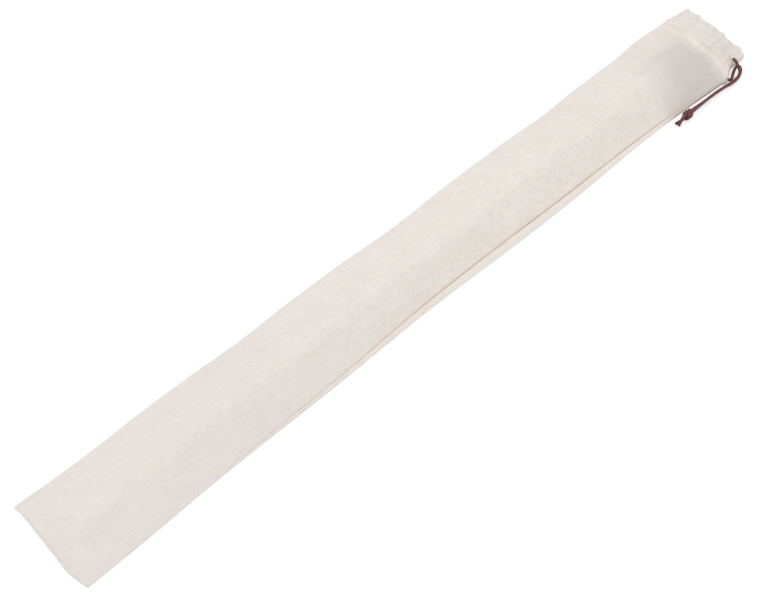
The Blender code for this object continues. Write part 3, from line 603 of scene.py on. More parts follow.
def lobed_ring(bm, centre, across, up, walked, radius, sides, depth=LAY_DEPTH):
    """A row round a twisted cord, one lobe to a ply, which turn as the cord is walked along."""
    ring = []
    for angle in circle(sides):
        lobe = abs(sin(PLIES / 2 * (angle - 2 * pi * walked / LAY_PITCH / PLIES)))
        reach = radius * (1 - depth * (1 - lobe))
        ring.append(bm.verts.new(centre + (across * cos(angle) + up * sin(angle)) * reach))
    return ring, walked, [2 * pi * radius * j / sides for j in range(sides + 1)]


def close_cord(bm, rows, lay):
    woven_skin(bm, rows, lay)
    bm.faces.new(rows[0][0])
    bm.faces.new(rows[-1][0])


def laid_cord(name, points, radius, material, depth=LAY_DEPTH, sides=30, worn_ends=True):
    """A twisted cord along the points. Its cut ends are a little thinner."""
    bm = bmesh.new()
    lay = bm.loops.layers.uv.new("threads")
    ways = [(b - a).normalized() for a, b in zip(points[:1] + points, points[1:] + points[-1:])]
    side = ways[0].orthogonal().normalized()
    length = route_length(points)
    walked = 0.0
    rows = []
    for k, (point, way) in enumerate(zip(points, ways)):
        if k:
            walked += (point - points[k - 1]).length
            side = (side - way * side.dot(way)).normalized()
        to_end = max(0.0, min(walked, length - walked))
        worn = 1 - WORN_BY * (1 - smooth(to_end, 0.0, WORN_END)) if worn_ends else 1.0
        rows.append(lobed_ring(bm, point, side, way.cross(side), walked, radius * worn, sides,
                               depth))
    close_cord(bm, rows, lay)
    return finished(bm, name, material)


def cord_lane(place):
    """Centre of the cord in the hem's channel. place runs from 0 at the front to 1 at the back."""
    first = -round(SEAM_SLOPE_STEPS * 0.54)
    column = round(mix(first, SEAM_FIRST - FLOOR_STEPS / 10, place))
    x = HEM_START + mix(CORD_LANE_TOP, CORD_LANE_SIDE, smooth(column / SEAM_FIRST, 0.4, 0.9))
    point = section(x, CLOTH + CHANNEL / 2)[column % COLUMNS]
    return settled(x, point.x, point.y)


def strand_path(end, before_end, strand, tail, height):
    """A cord's centreline from inside the hem through the knot to its cut end."""
    def chosen(points):
        return [SEWN_CORNER + Vector(point) / 1000 for point in points]

    def knot_face(side):
        return KNOT_MIDDLE + Vector((side * (KNOT_LENGTH / 2 + SLIP), 0, height))

    ahead = (end - before_end).normalized()
    start = [end + ahead * SLIP, end + ahead * (SLIP + CORD_RADIUS)]
    lead = Vector((SLIP * 10, 0, 0))
    knots = start + chosen(strand) + [knot_face(1) + lead, knot_face(1)]
    knots += [KNOT_MIDDLE + Vector((0, 0, height)), knot_face(-1)] + chosen(tail)
    return along_curve(knots, CORD_DIAMETER / 6)


def knot_wraps(material):
    """The turns of the doubled overhand knot, tight round the two strands."""
    bm = bmesh.new()
    lay = bm.loops.layers.uv.new("threads")
    half = KNOT_LENGTH / 2 - LAID_RADIUS * 1.1
    for start in (0.0, pi):
        rows = []
        walked = 0.0
        before = None
        for t in spread(0, 1, 1 / 90):
            angle = start + 2 * pi * KNOT_TURNS * t
            tuck = smooth(t, 0.0, 0.12) * (1 - smooth(t, 0.88, 1.0))
            middle = mix(0.0008, 0.00290 - 0.0004 * (2 * t - 1) ** 2, tuck)
            outward = Vector((0, cos(angle), sin(angle)))
            centre = KNOT_MIDDLE + Vector((half * (1 - 2 * t), outward.y * middle * 0.98,
                                           outward.z * middle))
            way = Vector((0, -sin(angle), cos(angle)))
            if before is not None:
                way = (centre - before).normalized()
                walked += (centre - before).length
            before = centre
            outward = (outward - way * outward.dot(way)).normalized()
            rows.append(lobed_ring(bm, centre, outward * 0.98, way.cross(outward) * 1.28, walked,
                                   LAID_RADIUS, 20))
        close_cord(bm, rows, lay)
    return finished(bm, "drawstring_knot_turns", material)


def stitches(name, rows, material):
    """Short thread bars that lie half sunk in the cloth. rows holds (middle, along, normal)."""
    bm = bmesh.new()
    for middle, along, normal in rows:
        beside = along.cross(normal).normalized()
        rings = []
        for t in (-1, -0.5, 0, 0.5, 1):
            swell = STITCH_RADIUS * sqrt(max(0.05, 1 - t ** 4))
            centre = middle + along * (t * STITCH_LENGTH / 2) - normal * (STITCH_RADIUS * 0.9 * t * t)
            rings.append([bm.verts.new(centre + (normal * cos(a) + beside * sin(a)) * swell)
                          for a in circle(7)])
        capped(bm, rings)
    return finished(bm, name, material)


def hem_stitches(material):
    """The row of stitches that holds the turned-in hem, left out where it lies on the table."""
    x = HEM_START + 0.0016
    beyond = x + 0.0004
    ring, walked = cloth_ring(x, wall_offset(x), True)
    ahead, _ = cloth_ring(beyond, wall_offset(beyond), True)
    rows = []
    for k in range(int(walked[0] / STITCH_PITCH), int(walked[-1] / STITCH_PITCH)):
        at = k * STITCH_PITCH
        column = max(c for c in range(COLUMNS) if walked[c] <= at)
        share = (at - walked[column]) / max(1e-9, walked[column + 1] - walked[column])
        here, there = ring[column], ring[(column + 1) % COLUMNS]
        along = (there - here).normalized()
        normal = along.cross((ahead[column] - here).normalized()).normalized()
        middle = here.lerp(there, share)
        if (middle - to_world(x, middle.y - CENTRE_Y, HEM_STACK)).dot(normal) < 0:
            normal = -normal
        if normal.z > 0.2:
            rows.append((middle, along, normal))
    return stitches("hem_stitching", rows, material)


# Flute pieces are made along local Z, with local -X as the playing side

SLIDE_LENGTH = hypot(1, SLIDE_RISE)
AXIS = Vector((1, 0, SLIDE_RISE)) / SLIDE_LENGTH
DOWN = Vector((SLIDE_RISE, 0, -1)) / SLIDE_LENGTH
HEAD_PLACE = to_world(DIZI_FROM_CLOSED_END, DIZI_OFFSET, slide_height(DIZI_FROM_CLOSED_END))
FLUTE = Matrix((DOWN, AXIS.cross(DOWN), AXIS)).transposed().to_4x4()
FLUTE.translation = HEAD_PLACE
CREASE = 0.6


def on_flute(bm, name, material):
    bmesh.ops.transform(bm, matrix=FLUTE, verts=bm.verts)
    return finished(bm, name, material)


def turned(name, profile, material, sides=96):
    """A closed profile of (radius, distance along the axis) turned round the flute's axis."""
    bm = bmesh.new()
    rings = [[bm.verts.new((radius * cos(a), radius * sin(a), along)) for a in circle(sides)]
             for radius, along in profile]
    bridge(bm, rings + rings[:1])
    piece = on_flute(bm, name, material)
    piece.data.set_sharp_from_angle(angle=CREASE)
    return piece


def rounded(profile, radius, steps=3):
    """A closed profile with its corners rounded off by up to radius."""
    made = []
    profile = [Vector(corner) for corner in profile]
    for before, here, after in zip(profile[-1:] + profile, profile, profile[1:] + profile[:1]):
        to_before, to_after = before - here, after - here
        reach = min(radius, 0.45 * to_before.length, 0.45 * to_after.length)
        start, end = here + to_before.normalized() * reach, here + to_after.normalized() * reach
        for step in range(steps + 1):
            t = step / steps
            made.append(tuple(start.lerp(here, t).lerp(here.lerp(end, t), t)))
    return made


def hole_cutter(bm, along, size, side):
    """An oval drill for one hole, flared where it meets the bamboo's skin."""
    length, width = size
    levels = ((BORE_RADIUS * 0.4, 1.0), (TUBE_RADIUS - 0.00035, 1.0), (TUBE_RADIUS - 0.0001, 1.014),
              (TUBE_RADIUS + 0.0003, 1.052), (TUBE_RADIUS + 0.0012, 1.16))
    capped(bm, [[bm.verts.new((side * reach, width / 2 * grown * sin(a),
                               along + length / 2 * grown * cos(a))) for a in circle(40)]
                for reach, grown in levels])


def cut_with(piece, cutter, solver="EXACT"):
    """Takes the cutter's shape out of the piece and removes the cutter."""
    boolean = piece.modifiers.new("cut", "BOOLEAN")
    boolean.operation = "DIFFERENCE"
    boolean.solver = solver
    boolean.object = cutter
    depsgraph = bpy.context.evaluated_depsgraph_get()
    mesh = bpy.data.meshes.new_from_object(piece.evaluated_get(depsgraph))
    piece.modifiers.clear()
    piece.data = mesh
    bpy.data.objects.remove(cutter, do_unlink=True)


def bamboo_radius(along, nodes):
    """The skin's radius: nearly even, with a low ridge and groove at each bamboo node."""
    radius = TUBE_RADIUS + SKIN_WAVE * noisy(along * 30, 2.0, 5.0)
    for node_at in nodes:
        away = along - node_at
        radius += NODE_RIDGE * exp(-(away / 0.0016) ** 2)
        radius -= NODE_GROOVE * exp(-((away - 0.0034) / 0.0012) ** 2)
    return radius


def bamboo_tube(name, profile, skin_from, skin_to, nodes, holes, material):
    """A length of bamboo: its profile, the skin between two places, and its holes."""
    skin = [(bamboo_radius(a, nodes), a) for a in spread(skin_from, skin_to, 0.0012)]
    piece = turned(name, profile(skin), material)
    bm = bmesh.new()
    for along, size, side in holes:
        hole_cutter(bm, along, size, side)
    cut_with(piece, on_flute(bm, name + "_drill", None))
    piece.data.set_sharp_from_angle(angle=CREASE)
    return piece


def binding(name, middle, width, material):
    """A band of lacquered thread, one low ridge to each turn."""
    turns = max(6, round(width / BINDING_PITCH))
    inner = TUBE_RADIUS + 0.00002
    profile = [(inner, middle - width / 2), (inner, middle + width / 2)]
    for k in range(turns * 4, -1, -1):
        t = k / (turns * 4)
        groove = BINDING_GROOVE * (1 - abs(sin(pi * turns * t)))
        profile.append((RING_RADIUS - groove, middle + width * (t - 0.5)))
    return turned(name, profile, material, sides=80)


def end_ring(name, start, outwards, material):
    """A turned bone ring with a rounded rim and two scribed lines."""
    length = END_RING_LENGTH
    groove, half_width = 0.00016, 0.00022
    rim, lip_edge = 0.0016, 0.0004
    profile = [(RING_RADIUS, 0.0)]
    for place in (0.0022, 0.0031):
        profile += [(RING_RADIUS, place - half_width), (RING_RADIUS - groove, place),
                    (RING_RADIUS, place + half_width)]
    for k in range(7):
        angle = k / 6 * pi / 2
        profile.append((RING_RADIUS - rim * (1 - cos(angle)), length - rim * (1 - sin(angle))))
    profile += [(BORE_RADIUS + lip_edge, length), (BORE_RADIUS, length - lip_edge),
                (BORE_RADIUS, length - END_RING_LIP), (RING_SEAT, length - END_RING_LIP),
                (RING_SEAT, 0.0)]
    return turned(name, [(radius, start + outwards * along) for radius, along in profile], material)


def membrane(material):
    """The reed film over its hole: glued at its edge, finely wrinkled across the flute."""
    length, width = MEMBRANE_HOLE
    across = width / 2 + MEMBRANE_MARGIN
    half = length / 2 + MEMBRANE_MARGIN
    wrinkle, wrinkle_pitch = 0.00016, 0.00042
    base = TUBE_RADIUS + BINDING_GAP * 0.4
    bm = bmesh.new()
    count_u, count_v = 46, 110

    def corner(thick, i, j):
        u, v = 2 * j / count_u - 1, 2 * i / count_v - 1
        inside = 1 - smooth(hypot(u * across / (width / 2), v * half / (length / 2)), 0.8, 1.15)
        crinkle = 0.5 + 0.5 * sin(v * half / wrinkle_pitch * pi)
        crinkle *= 0.6 + 0.4 * noisy(u * 3, v * 7, 3)
        radius = base + thick + wrinkle * inside * crinkle
        turn = u * across / TUBE_RADIUS
        return bm.verts.new((-radius * cos(turn), radius * sin(turn), MEMBRANE_AT + v * half))

    layers = [[[corner(thick, i, j) for j in range(count_u + 1)] for i in range(count_v + 1)]
              for thick in (0.0, MEMBRANE_FILM * 0.5)]
    for grid in layers:
        for row, after in zip(grid, grid[1:]):
            for j in range(count_u):
                bm.faces.new((row[j], row[j + 1], after[j + 1], after[j]))
    rim = [(0, j) for j in range(count_u)] + [(i, count_u) for i in range(count_v)]
    rim += [(count_v, j) for j in range(count_u, 0, -1)] + [(i, 0) for i in range(count_v, 0, -1)]
    bridge(bm, [[grid[i][j] for i, j in rim] for grid in layers])
    return on_flute(bm, "reed_film", material)


# Shader values. A colour is written without its alpha, which is 1.

def plug(socket, value):
    if isinstance(value, Wire):
        value.tree.links.new(value.socket, socket)
    elif socket.type == "RGBA":
        socket.default_value = (*value, 1)
    else:
        socket.default_value = value


def node(tree, kind, inputs=(), **settings):
    """Adds a node to a shader. Its outputs come back by number and by name."""
    made = tree.nodes.new(kind)
    for name, value in settings.items():
        setattr(made, name, value)
    for key, value in dict(inputs).items():
        plug(made.inputs[key], value)
    return {key: Wire(tree, out) for k, out in enumerate(made.outputs) for key in (k, out.name)}


class Wire:
    """A value on its way through a shader. What is done with it adds the nodes for that."""

    def __init__(self, tree, socket):
        self.tree = tree
        self.socket = socket

    def calc(self, operation, *others):
        values = enumerate((self, *others))
        return node(self.tree, "ShaderNodeMath", values, operation=operation)[0]

    def __mul__(self, other):
        return self.calc("MULTIPLY", other)

    def __add__(self, other):
        return self.calc("ADD", other)

    def __sub__(self, other):
        return self.calc("SUBTRACT", other)

    def size(self):
        return self.calc("ABSOLUTE")

    def between(self, low, high):
        """This value as a share of the way from low to high, kept from 0 to 1."""
        limits = {"Value": self, "From Min": low, "From Max": high}
        return node(self.tree, "ShaderNodeMapRange", limits)[0]

    def near(self, at, reach):
        """1 where this value is at, falling to 0 one reach away."""
        limits = {"Value": (self - at).size(), "From Min": 0.0, "From Max": reach,
                  "To Min": 1.0, "To Max": 0.0}
        return node(self.tree, "ShaderNodeMapRange", limits, interpolation_type="SMOOTHSTEP")[0]

    def number(self, first, second):
        """From the first number to the second as this value goes from 0 to 1."""
        return node(self.tree, "ShaderNodeMix", {0: self, 2: first, 3: second})[0]

    def colour(self, first, second):
        """From the first colour to the second as this value goes from 0 to 1."""
        return node(self.tree, "ShaderNodeMix", {0: self, 6: first, 7: second}, data_type="RGBA")[2]

    def tinted(self, colour, share):
        """This tone with a colour laid over it."""
        return share.colour(self, colour)

    def scaled(self, factors):
        return node(self.tree, "ShaderNodeVectorMath", {0: self, 1: factors},
                    operation="MULTIPLY")[0]

    def cloudy(self, scale, detail=2.0, roughness=0.5):
        """Noise from 0 to 1 at this place. Three numbers as its scale stretch it."""
        place = self
        if isinstance(scale, tuple):
            place, scale = self.scaled(scale), 1.0
        settings = {"Vector": place, "Scale": scale, "Detail": detail, "Roughness": roughness}
        return node(self.tree, "ShaderNodeTexNoise", settings)["Fac"]

    def axes(self):
        return node(self.tree, "ShaderNodeSeparateXYZ", {0: self})


def uv_map(tree, name):
    return node(tree, "ShaderNodeUVMap", uv_map=name)[0]


def local_place(tree):
    return node(tree, "ShaderNodeTexCoord")["Object"]


def shader_group(name, inputs, outputs):
    """A node group. An input is a vector or a number as its first value is, an output a number."""
    group = bpy.data.node_groups.new(name, "ShaderNodeTree")
    for label, value in inputs.items():
        kind = "NodeSocketVector" if isinstance(value, tuple) else "NodeSocketFloat"
        socket = group.interface.new_socket(label, in_out="INPUT", socket_type=kind)
        socket.default_value = value
    for label in outputs:
        group.interface.new_socket(label, in_out="OUTPUT", socket_type="NodeSocketFloat")
    return group, node(group, "NodeGroupInput"), group.nodes.new("NodeGroupOutput").inputs


def use(tree, group, **inputs):
    return node(tree, "ShaderNodeGroup", inputs, node_tree=group)


def new_material(name):
    material = bpy.data.materials.new(name)
    material.use_nodes = True
    return material, material.node_tree


def dressed(material, tone, relief, distance, strength, **looks):
    """The material with a tone, a relief and other looks on its own shader."""
    shader = material.node_tree.nodes["Principled BSDF"]
    bump = node(material.node_tree, "ShaderNodeBump",
                {"Height": relief, "Distance": distance, "Strength": strength})
    for label, value in dict(looks, Base_Color=tone, Normal=bump["Normal"]).items():
        plug(shader.inputs[label.replace("_", " ")], value)
    return material


# Finishes

def plain_weave():
    """Over and under threads. Threads is in metres and Pitch in threads to a metre."""
    tree, given, out = shader_group("plain weave", {"Threads": (0, 0, 0), "Pitch": 1800.0},
                                    ("Height", "Gap"))
    place = node(tree, "ShaderNodeVectorMath", {0: given["Threads"], 3: given["Pitch"]},
                 operation="SCALE")[0]
    wander = node(tree, "ShaderNodeTexNoise", {"Vector": place, "Scale": 0.07, "Detail": 2.0})
    shift = wander["Color"].scaled((2.2, 2.2, 0.0))
    threads = node(tree, "ShaderNodeVectorMath", {0: place, 1: shift}, operation="ADD")[0].axes()
    u, v = threads[0], threads[1]
    across_u, across_v = (u * pi).calc("SINE").size(), (v * pi).calc("SINE").size()
    over = (u.calc("FLOOR") + v.calc("FLOOR")).size().calc("MODULO", 2.0)
    warp = across_v.calc("SQRT") * across_u.number(0.55, 1.0)
    weft = across_u.calc("SQRT") * across_v.number(0.55, 1.0)
    height = over.number(warp, weft)
    plug(out["Height"], height)
    plug(out["Gap"], height.between(0.45, 0.05))
    return tree


def flecks():
    """Sparse specks of darker fibre. Share runs from 0 to 1."""
    tree, given, out = shader_group("fibre flecks", {"Place": (0, 0, 0), "Spacing": 300.0,
                                                     "Share": 0.1}, ("Mask", "Shade"))
    stretched = given["Place"].scaled((0.55, 1.0, 1.0))
    cells = node(tree, "ShaderNodeTexVoronoi", {"Vector": stretched, "Scale": given["Spacing"]})
    chance = cells["Color"].axes()
    picked = chance[0].calc("LESS_THAN", given["Share"])
    plug(out["Mask"], picked * cells["Distance"].between(0.30, 0.10))
    plug(out["Shade"], chance[1])
    return tree


def fine_wear():
    """Small uneven patches and hairline scratches from handling."""
    tree, given, out = shader_group("handling wear", {"Place": (0, 0, 0), "Size": 60.0},
                                    ("Patches", "Scratches"))
    place, size = given["Place"], given["Size"]
    fine = place.scaled((1.0, 18.0, 18.0)).cloudy(size * 2.0, 3.0)
    plug(out["Patches"], place.cloudy(size, 4.0, 0.6).between(0.35, 0.7))
    plug(out["Scratches"], fine.between(0.62, 0.68))
    return tree


def linen(weave, specks):
    """Undyed cloth: uneven threads both ways, soft blotches, and a few darker fibres."""
    material, tree = new_material("natural_linen")
    threads = uv_map(tree, "threads")
    cloth = use(tree, weave, Threads=threads, Pitch=1750.0)
    broad = threads.cloudy(38.0, 3.0, 0.55).between(0.3, 0.7)
    tone = broad.colour((0.828, 0.766, 0.714), (0.866, 0.814, 0.762))
    # Short thick places in the threads, lighter and darker, along and across the bag
    along = threads.cloudy((120.0, 430.0, 0.0), 4.0, 0.75)
    across = threads.cloudy((430.0, 120.0, 0.0), 4.0, 0.75)
    grain = node(tree, "ShaderNodeMix", {0: 0.5, 2: along, 3: across})[0]
    tone = tone.tinted((0.94, 0.905, 0.855), grain.between(0.50, 0.66) * 0.55)
    tone = tone.tinted((0.68, 0.615, 0.565), grain.between(0.50, 0.34) * 0.55)
    # Yellowish and pinkish grains
    warm = threads.cloudy((260.0, 200.0, 0.0), 2.0, 0.6)
    tone = tone.tinted((0.86, 0.77, 0.62), warm.between(0.52, 0.72) * 0.36)
    tone = tone.tinted((0.80, 0.705, 0.715), warm.between(0.48, 0.28) * 0.36)
    # Painted shade in the gaps between the threads
    tone = tone.tinted((0.60, 0.54, 0.48), cloth["Gap"] * 0.30)
    # Dark fibres that lie along one thread or the other
    kinds = (((0.35, 1.0, 1.0), 640.0, 0.022), ((1.0, 0.40, 1.0), 580.0, 0.020))
    for stretch, spacing, share in kinds:
        brown = use(tree, specks, Place=threads.scaled(stretch), Spacing=spacing, Share=share)
        fibre = brown["Shade"].colour((0.40, 0.25, 0.17), (0.36, 0.34, 0.36))
        tone = tone.tinted(fibre, brown["Mask"] * brown["Shade"].number(0.25, 0.60))
    tone = seam_marks_and_painted_light(tone, uv_map(tree, "sewing").axes(), threads.axes()[1])
    relief = cloth["Height"] + grain.between(0.35, 0.65) * 1.2
    return dressed(material, tone, relief, 0.00014, 0.9, Roughness=0.92, Specular_IOR_Level=0.05)


def seam_marks_and_painted_light(tone, sewing, around):
    """A reddish painted shadow in the sewn groove, a cream strip and an edge of painted shade beside
    it, the hem's paler edge with a painted highlight, painted shade at the neck, and darker tones
    towards the closed end and over the hem.
    """
    from_groove, along = sewing[0], sewing[1]
    sewn_part = along.between(0.16, 0.34) * along.between(0.76, 0.70)
    # Painted reddish shadow along the sewn groove, its hue wandering from orange to tan
    groove_shadow_mix = along.cloudy(16.0).between(0.35, 0.65)
    groove_shadow_tone = groove_shadow_mix.colour((0.60, 0.36, 0.22), (0.58, 0.46, 0.33))
    tone = tone.tinted(groove_shadow_tone, from_groove.near(0.0, 0.0012) * sewn_part * 0.85)
    cream = from_groove.between(0.0, -0.0010) * from_groove.between(-0.0046, -0.0028)
    tone = tone.tinted((0.88, 0.81, 0.70), cream * sewn_part * along.between(0.66, 0.56) * 0.35)
    # Painted shade along the outer edge of the sewn strip, where the cloth turns down
    edge = from_groove.between(-0.0042, -0.0062) * from_groove.between(-0.0130, -0.0105)
    tone = tone.tinted((0.80, 0.79, 0.77), edge * sewn_part * 0.45)
    # The hem's paler doubled edge with a painted highlight on it, left off the folded slope
    top_side = around.between(0.045, 0.005).calc("MAXIMUM", around.between(0.10, 0.12))
    hem_pale_band_and_highlight = along.near(HEM_START + 0.0010, 0.0050)
    tone = tone.tinted((0.93, 0.88, 0.81), hem_pale_band_and_highlight * top_side * 0.60)
    # Painted shade at the neck, where the cloth falls after the flute's end, weaker on the folded
    # side
    neck = along.between(FOOT_END - 0.028, FOOT_END + 0.012)
    neck *= along.between(HEM_START, HEM_START - 0.012)
    fold_side = around.between(0.008, 0.028) * around.between(0.10, 0.07)
    tone = tone.tinted((0.64, 0.58, 0.55), neck * fold_side.number(0.60, 0.10))
    tone = tone.tinted((0.76, 0.715, 0.675), along.between(0.42, 0.16) * 0.40)
    hem = along.between(HEM_START + 0.006, HEM_START + 0.012)
    return tone.tinted((0.62, 0.60, 0.60), hem * 0.12)


def cord_material():
    material, tree = new_material("waxed_cord")
    lay = uv_map(tree, "threads")
    fibre = lay.cloudy((220.0, 2600.0, 0.0), 3.0, 0.6)
    tone = fibre.between(0.35, 0.65).colour((0.070, 0.015, 0.016), (0.165, 0.046, 0.044))
    tone = tone.tinted((0.16, 0.052, 0.046), lay.cloudy(130.0).between(0.5, 0.75) * 0.4)
    return dressed(material, tone, fibre, 0.00008, 0.8, Roughness=0.42, Specular_IOR_Level=0.40)


def thread_material(name, dark, light, rough):
    material, tree = new_material(name)
    fibre = local_place(tree).cloudy(2600.0, 3.0)
    tone = fibre.between(0.35, 0.65).colour(dark, light)
    return dressed(material, tone, fibre, 0.00004, 0.6, Roughness=rough)


def bamboo(wear):
    material, tree = new_material("varnished_bamboo")
    place = local_place(tree)
    handled = use(tree, wear, Place=place, Size=45.0)
    long_fibre = place.cloudy((14.0, 1500.0, 1500.0), 4.0, 0.6)
    wide_fibre = place.cloudy((4.0, 220.0, 220.0), 3.0)
    tone = wide_fibre.between(0.3, 0.7).colour((0.42, 0.235, 0.085), (0.62, 0.40, 0.17))
    tone = tone.tinted((0.26, 0.12, 0.04), long_fibre.between(0.52, 0.75) * 0.55)
    tone = tone.tinted((0.34, 0.17, 0.06), handled["Patches"] * 0.25)
    return dressed(material, tone, long_fibre, 0.00006, 0.5, Coat_Roughness=0.12, Coat_Weight=0.35,
                   Roughness=handled["Scratches"].number(0.30, 0.42))


def bone(wear):
    material, tree = new_material("polished_bone")
    place = local_place(tree)
    handled = use(tree, wear, Place=place, Size=120.0)
    grain = place.cloudy((60.0, 700.0, 700.0), 3.0)
    tone = grain.between(0.35, 0.7).colour((0.80, 0.74, 0.60), (0.87, 0.83, 0.73))
    tone = tone.tinted((0.70, 0.60, 0.42), handled["Patches"] * 0.25)
    return dressed(material, tone, grain, 0.00002, 0.4, Subsurface_Weight=0.08,
                   Subsurface_Scale=0.002, Roughness=handled["Scratches"].number(0.28, 0.42))


def brass(wear):
    material, tree = new_material("polished_brass")
    place = local_place(tree)
    handled = use(tree, wear, Place=place, Size=90.0)
    patches, scratches = handled["Patches"], handled["Scratches"]
    tone = (patches * 0.5).colour((0.78, 0.58, 0.27), (0.55, 0.37, 0.15))
    lines = place.cloudy((9000.0, 60.0, 60.0))
    return dressed(material, tone, lines, 0.00001, 0.25, Metallic=1.0,
                   Roughness=patches * 0.14 + scratches * 0.12 + 0.20)


def cork_material(specks):
    material, tree = new_material("cork_grain")
    place = local_place(tree)
    grains = node(tree, "ShaderNodeTexVoronoi", {"Vector": place, "Scale": 900.0})
    shade = grains["Color"].axes()[0]
    pores = use(tree, specks, Place=place, Spacing=700.0, Share=0.2)["Mask"]
    tone = shade.colour((0.36, 0.20, 0.10), (0.55, 0.35, 0.20)).tinted((0.10, 0.05, 0.025), pores)
    return dressed(material, tone, shade - pores, 0.0001, 0.7, Roughness=0.9)


def film_material():
    material, tree = new_material("reed_film_skin")
    veins = local_place(tree).cloudy((300.0, 3500.0, 3500.0), 3.0)
    tone = veins.between(0.35, 0.7).colour((0.74, 0.68, 0.52), (0.88, 0.85, 0.76))
    return dressed(material, tone, veins, 0.00002, 0.5, Roughness=0.35, Coat_Weight=0.2)


# Camera, light and ground

def seen_white(tree):
    """1 for what the camera sees straight, in a gloss or through glass."""
    rays = node(tree, "ShaderNodeLightPath")
    straight_or_gloss = rays["Is Camera Ray"].calc("MAXIMUM", rays["Is Glossy Ray"])
    return straight_or_gloss.calc("MAXIMUM", rays["Is Transmission Ray"])


def paper_floor():
    """White ground for the camera that still takes the bag's shadow, plain grey for the rest."""
    material, tree = new_material("white_ground")
    plain = tree.nodes["Principled BSDF"]
    plug(plain.inputs["Base Color"], (0.90, 0.90, 0.90))
    plug(plain.inputs["Roughness"], 1.0)
    plug(plain.inputs["Specular IOR Level"], 0.0)
    shaded = node(tree, "ShaderNodeBsdfDiffuse", {"Color": (0.42, 0.42, 0.42)})[0]
    glow = node(tree, "ShaderNodeEmission", {"Color": (1, 1, 1), "Strength": 0.66})[0]
    lit = node(tree, "ShaderNodeAddShader", {0: shaded, 1: glow})[0]
    plain = Wire(tree, plain.outputs[0])
    both = node(tree, "ShaderNodeMixShader", {0: seen_white(tree), 1: plain, 2: lit})[0]
    plug(tree.nodes["Material Output"].inputs["Surface"], both)
    return material


def studio():
    scene = bpy.context.scene
    scene.view_settings.view_transform = "Standard"
    world = bpy.data.worlds.new("studio")
    world.use_nodes = True
    scene.world = world
    backdrop = world.node_tree.nodes["Background"].inputs
    plug(backdrop["Color"], (1, 1, 1))
    plug(backdrop["Strength"], seen_white(world.node_tree).number(0.93, 1.0))

    for name, (place, power, size) in SOFTBOXES.items():
        light = bpy.data.lights.new(name, "AREA")
        light.energy = power
        light.size = size
        lamp = bpy.data.objects.new(name, light)
        lamp.location = place
        lamp.rotation_euler = (-Vector(place)).to_track_quat("-Z", "Y").to_euler()
        scene.collection.objects.link(lamp)

    camera = bpy.data.cameras.new("photo_camera")
    camera.sensor_width = 36.0
    camera.lens = LENS
    camera.clip_start = 0.01
    place = Matrix((CAMERA_RIGHT, CAMERA_UP, CAMERA_BACK)).transposed().to_4x4()
    place.translation = CAMERA_PLACE
    holder = bpy.data.objects.new("photo_camera", camera)
    holder.matrix_world = place
    scene.collection.objects.link(holder)
    scene.camera = holder

    bm = bmesh.new()
    bmesh.ops.create_grid(bm, x_segments=1, y_segments=1, size=FLOOR_SIZE)
    bmesh.ops.translate(bm, verts=bm.verts, vec=(0, 0, -FLOOR_DROP))
    ground = finished(bm, "white_floor", paper_floor())


# The pieces

def keep(piece, body, slot, *nodes):
    """Rides a piece on its body and hides the solids that it replaces. Its slot is not used."""
    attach(piece, body)
    if nodes:
        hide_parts(*nodes)


def build_bag(specks):
    cloth = linen(plain_weave(), specks)
    cord = cord_material()

    # The cord comes first, because the cloth gets its holes from it
    lane = [cord_lane(k / 90) for k in range(91)]
    apart = LAID_RADIUS + SLIP / 2
    paths = {
        "upper": strand_path(lane[0], lane[1], UPPER_STRAND, UPPER_TAIL, apart),
        "lower": strand_path(lane[-1], lane[-2], LOWER_STRAND, LOWER_TAIL, -apart),
    }
    turns = knot_wraps(cord)
    keep(turns, "bag", "cord", "drawstring_knot")
    for side, path in paths.items():
        piece = laid_cord("drawstring_" + side, path, LAID_RADIUS, cord)
        keep(piece, "bag", "cord", "drawstring_%s_strand" % side, "drawstring_%s_tail" % side)
        round(route_length(path), 4)
    hidden = laid_cord("drawstring_hidden", along_curve(lane, CORD_DIAMETER / 3), CORD_RADIUS, cord,
                       sides=18)
    keep(hidden, "bag", "cord", "drawstring_in_hem")

    linen_bag = bag(cloth)
    for side, path in paths.items():
        first, last = WAY_OUT[side]
        way_out = laid_cord("way_out_" + side, path[first:last], LAID_RADIUS + HOLE_PLAY, None,
                            depth=0.0, sides=24, worn_ends=False)
        cut_with(linen_bag, way_out, solver="FAST")
    linen_bag.data.shade_smooth()
    sewing = thread_material("sewing_thread", (0.66, 0.60, 0.52), (0.84, 0.79, 0.72), 0.75)
    keep(hem_stitches(sewing), "bag", "linen")
    keep(linen_bag, "bag", "linen", "bag_cloth")


def bind(body, name_pattern, bindings, thread):
    for number, (middle, width) in enumerate(bindings, 1):
        name = name_pattern % number
        keep(binding(name + "_thread", middle, width, thread), body, "thread", name)


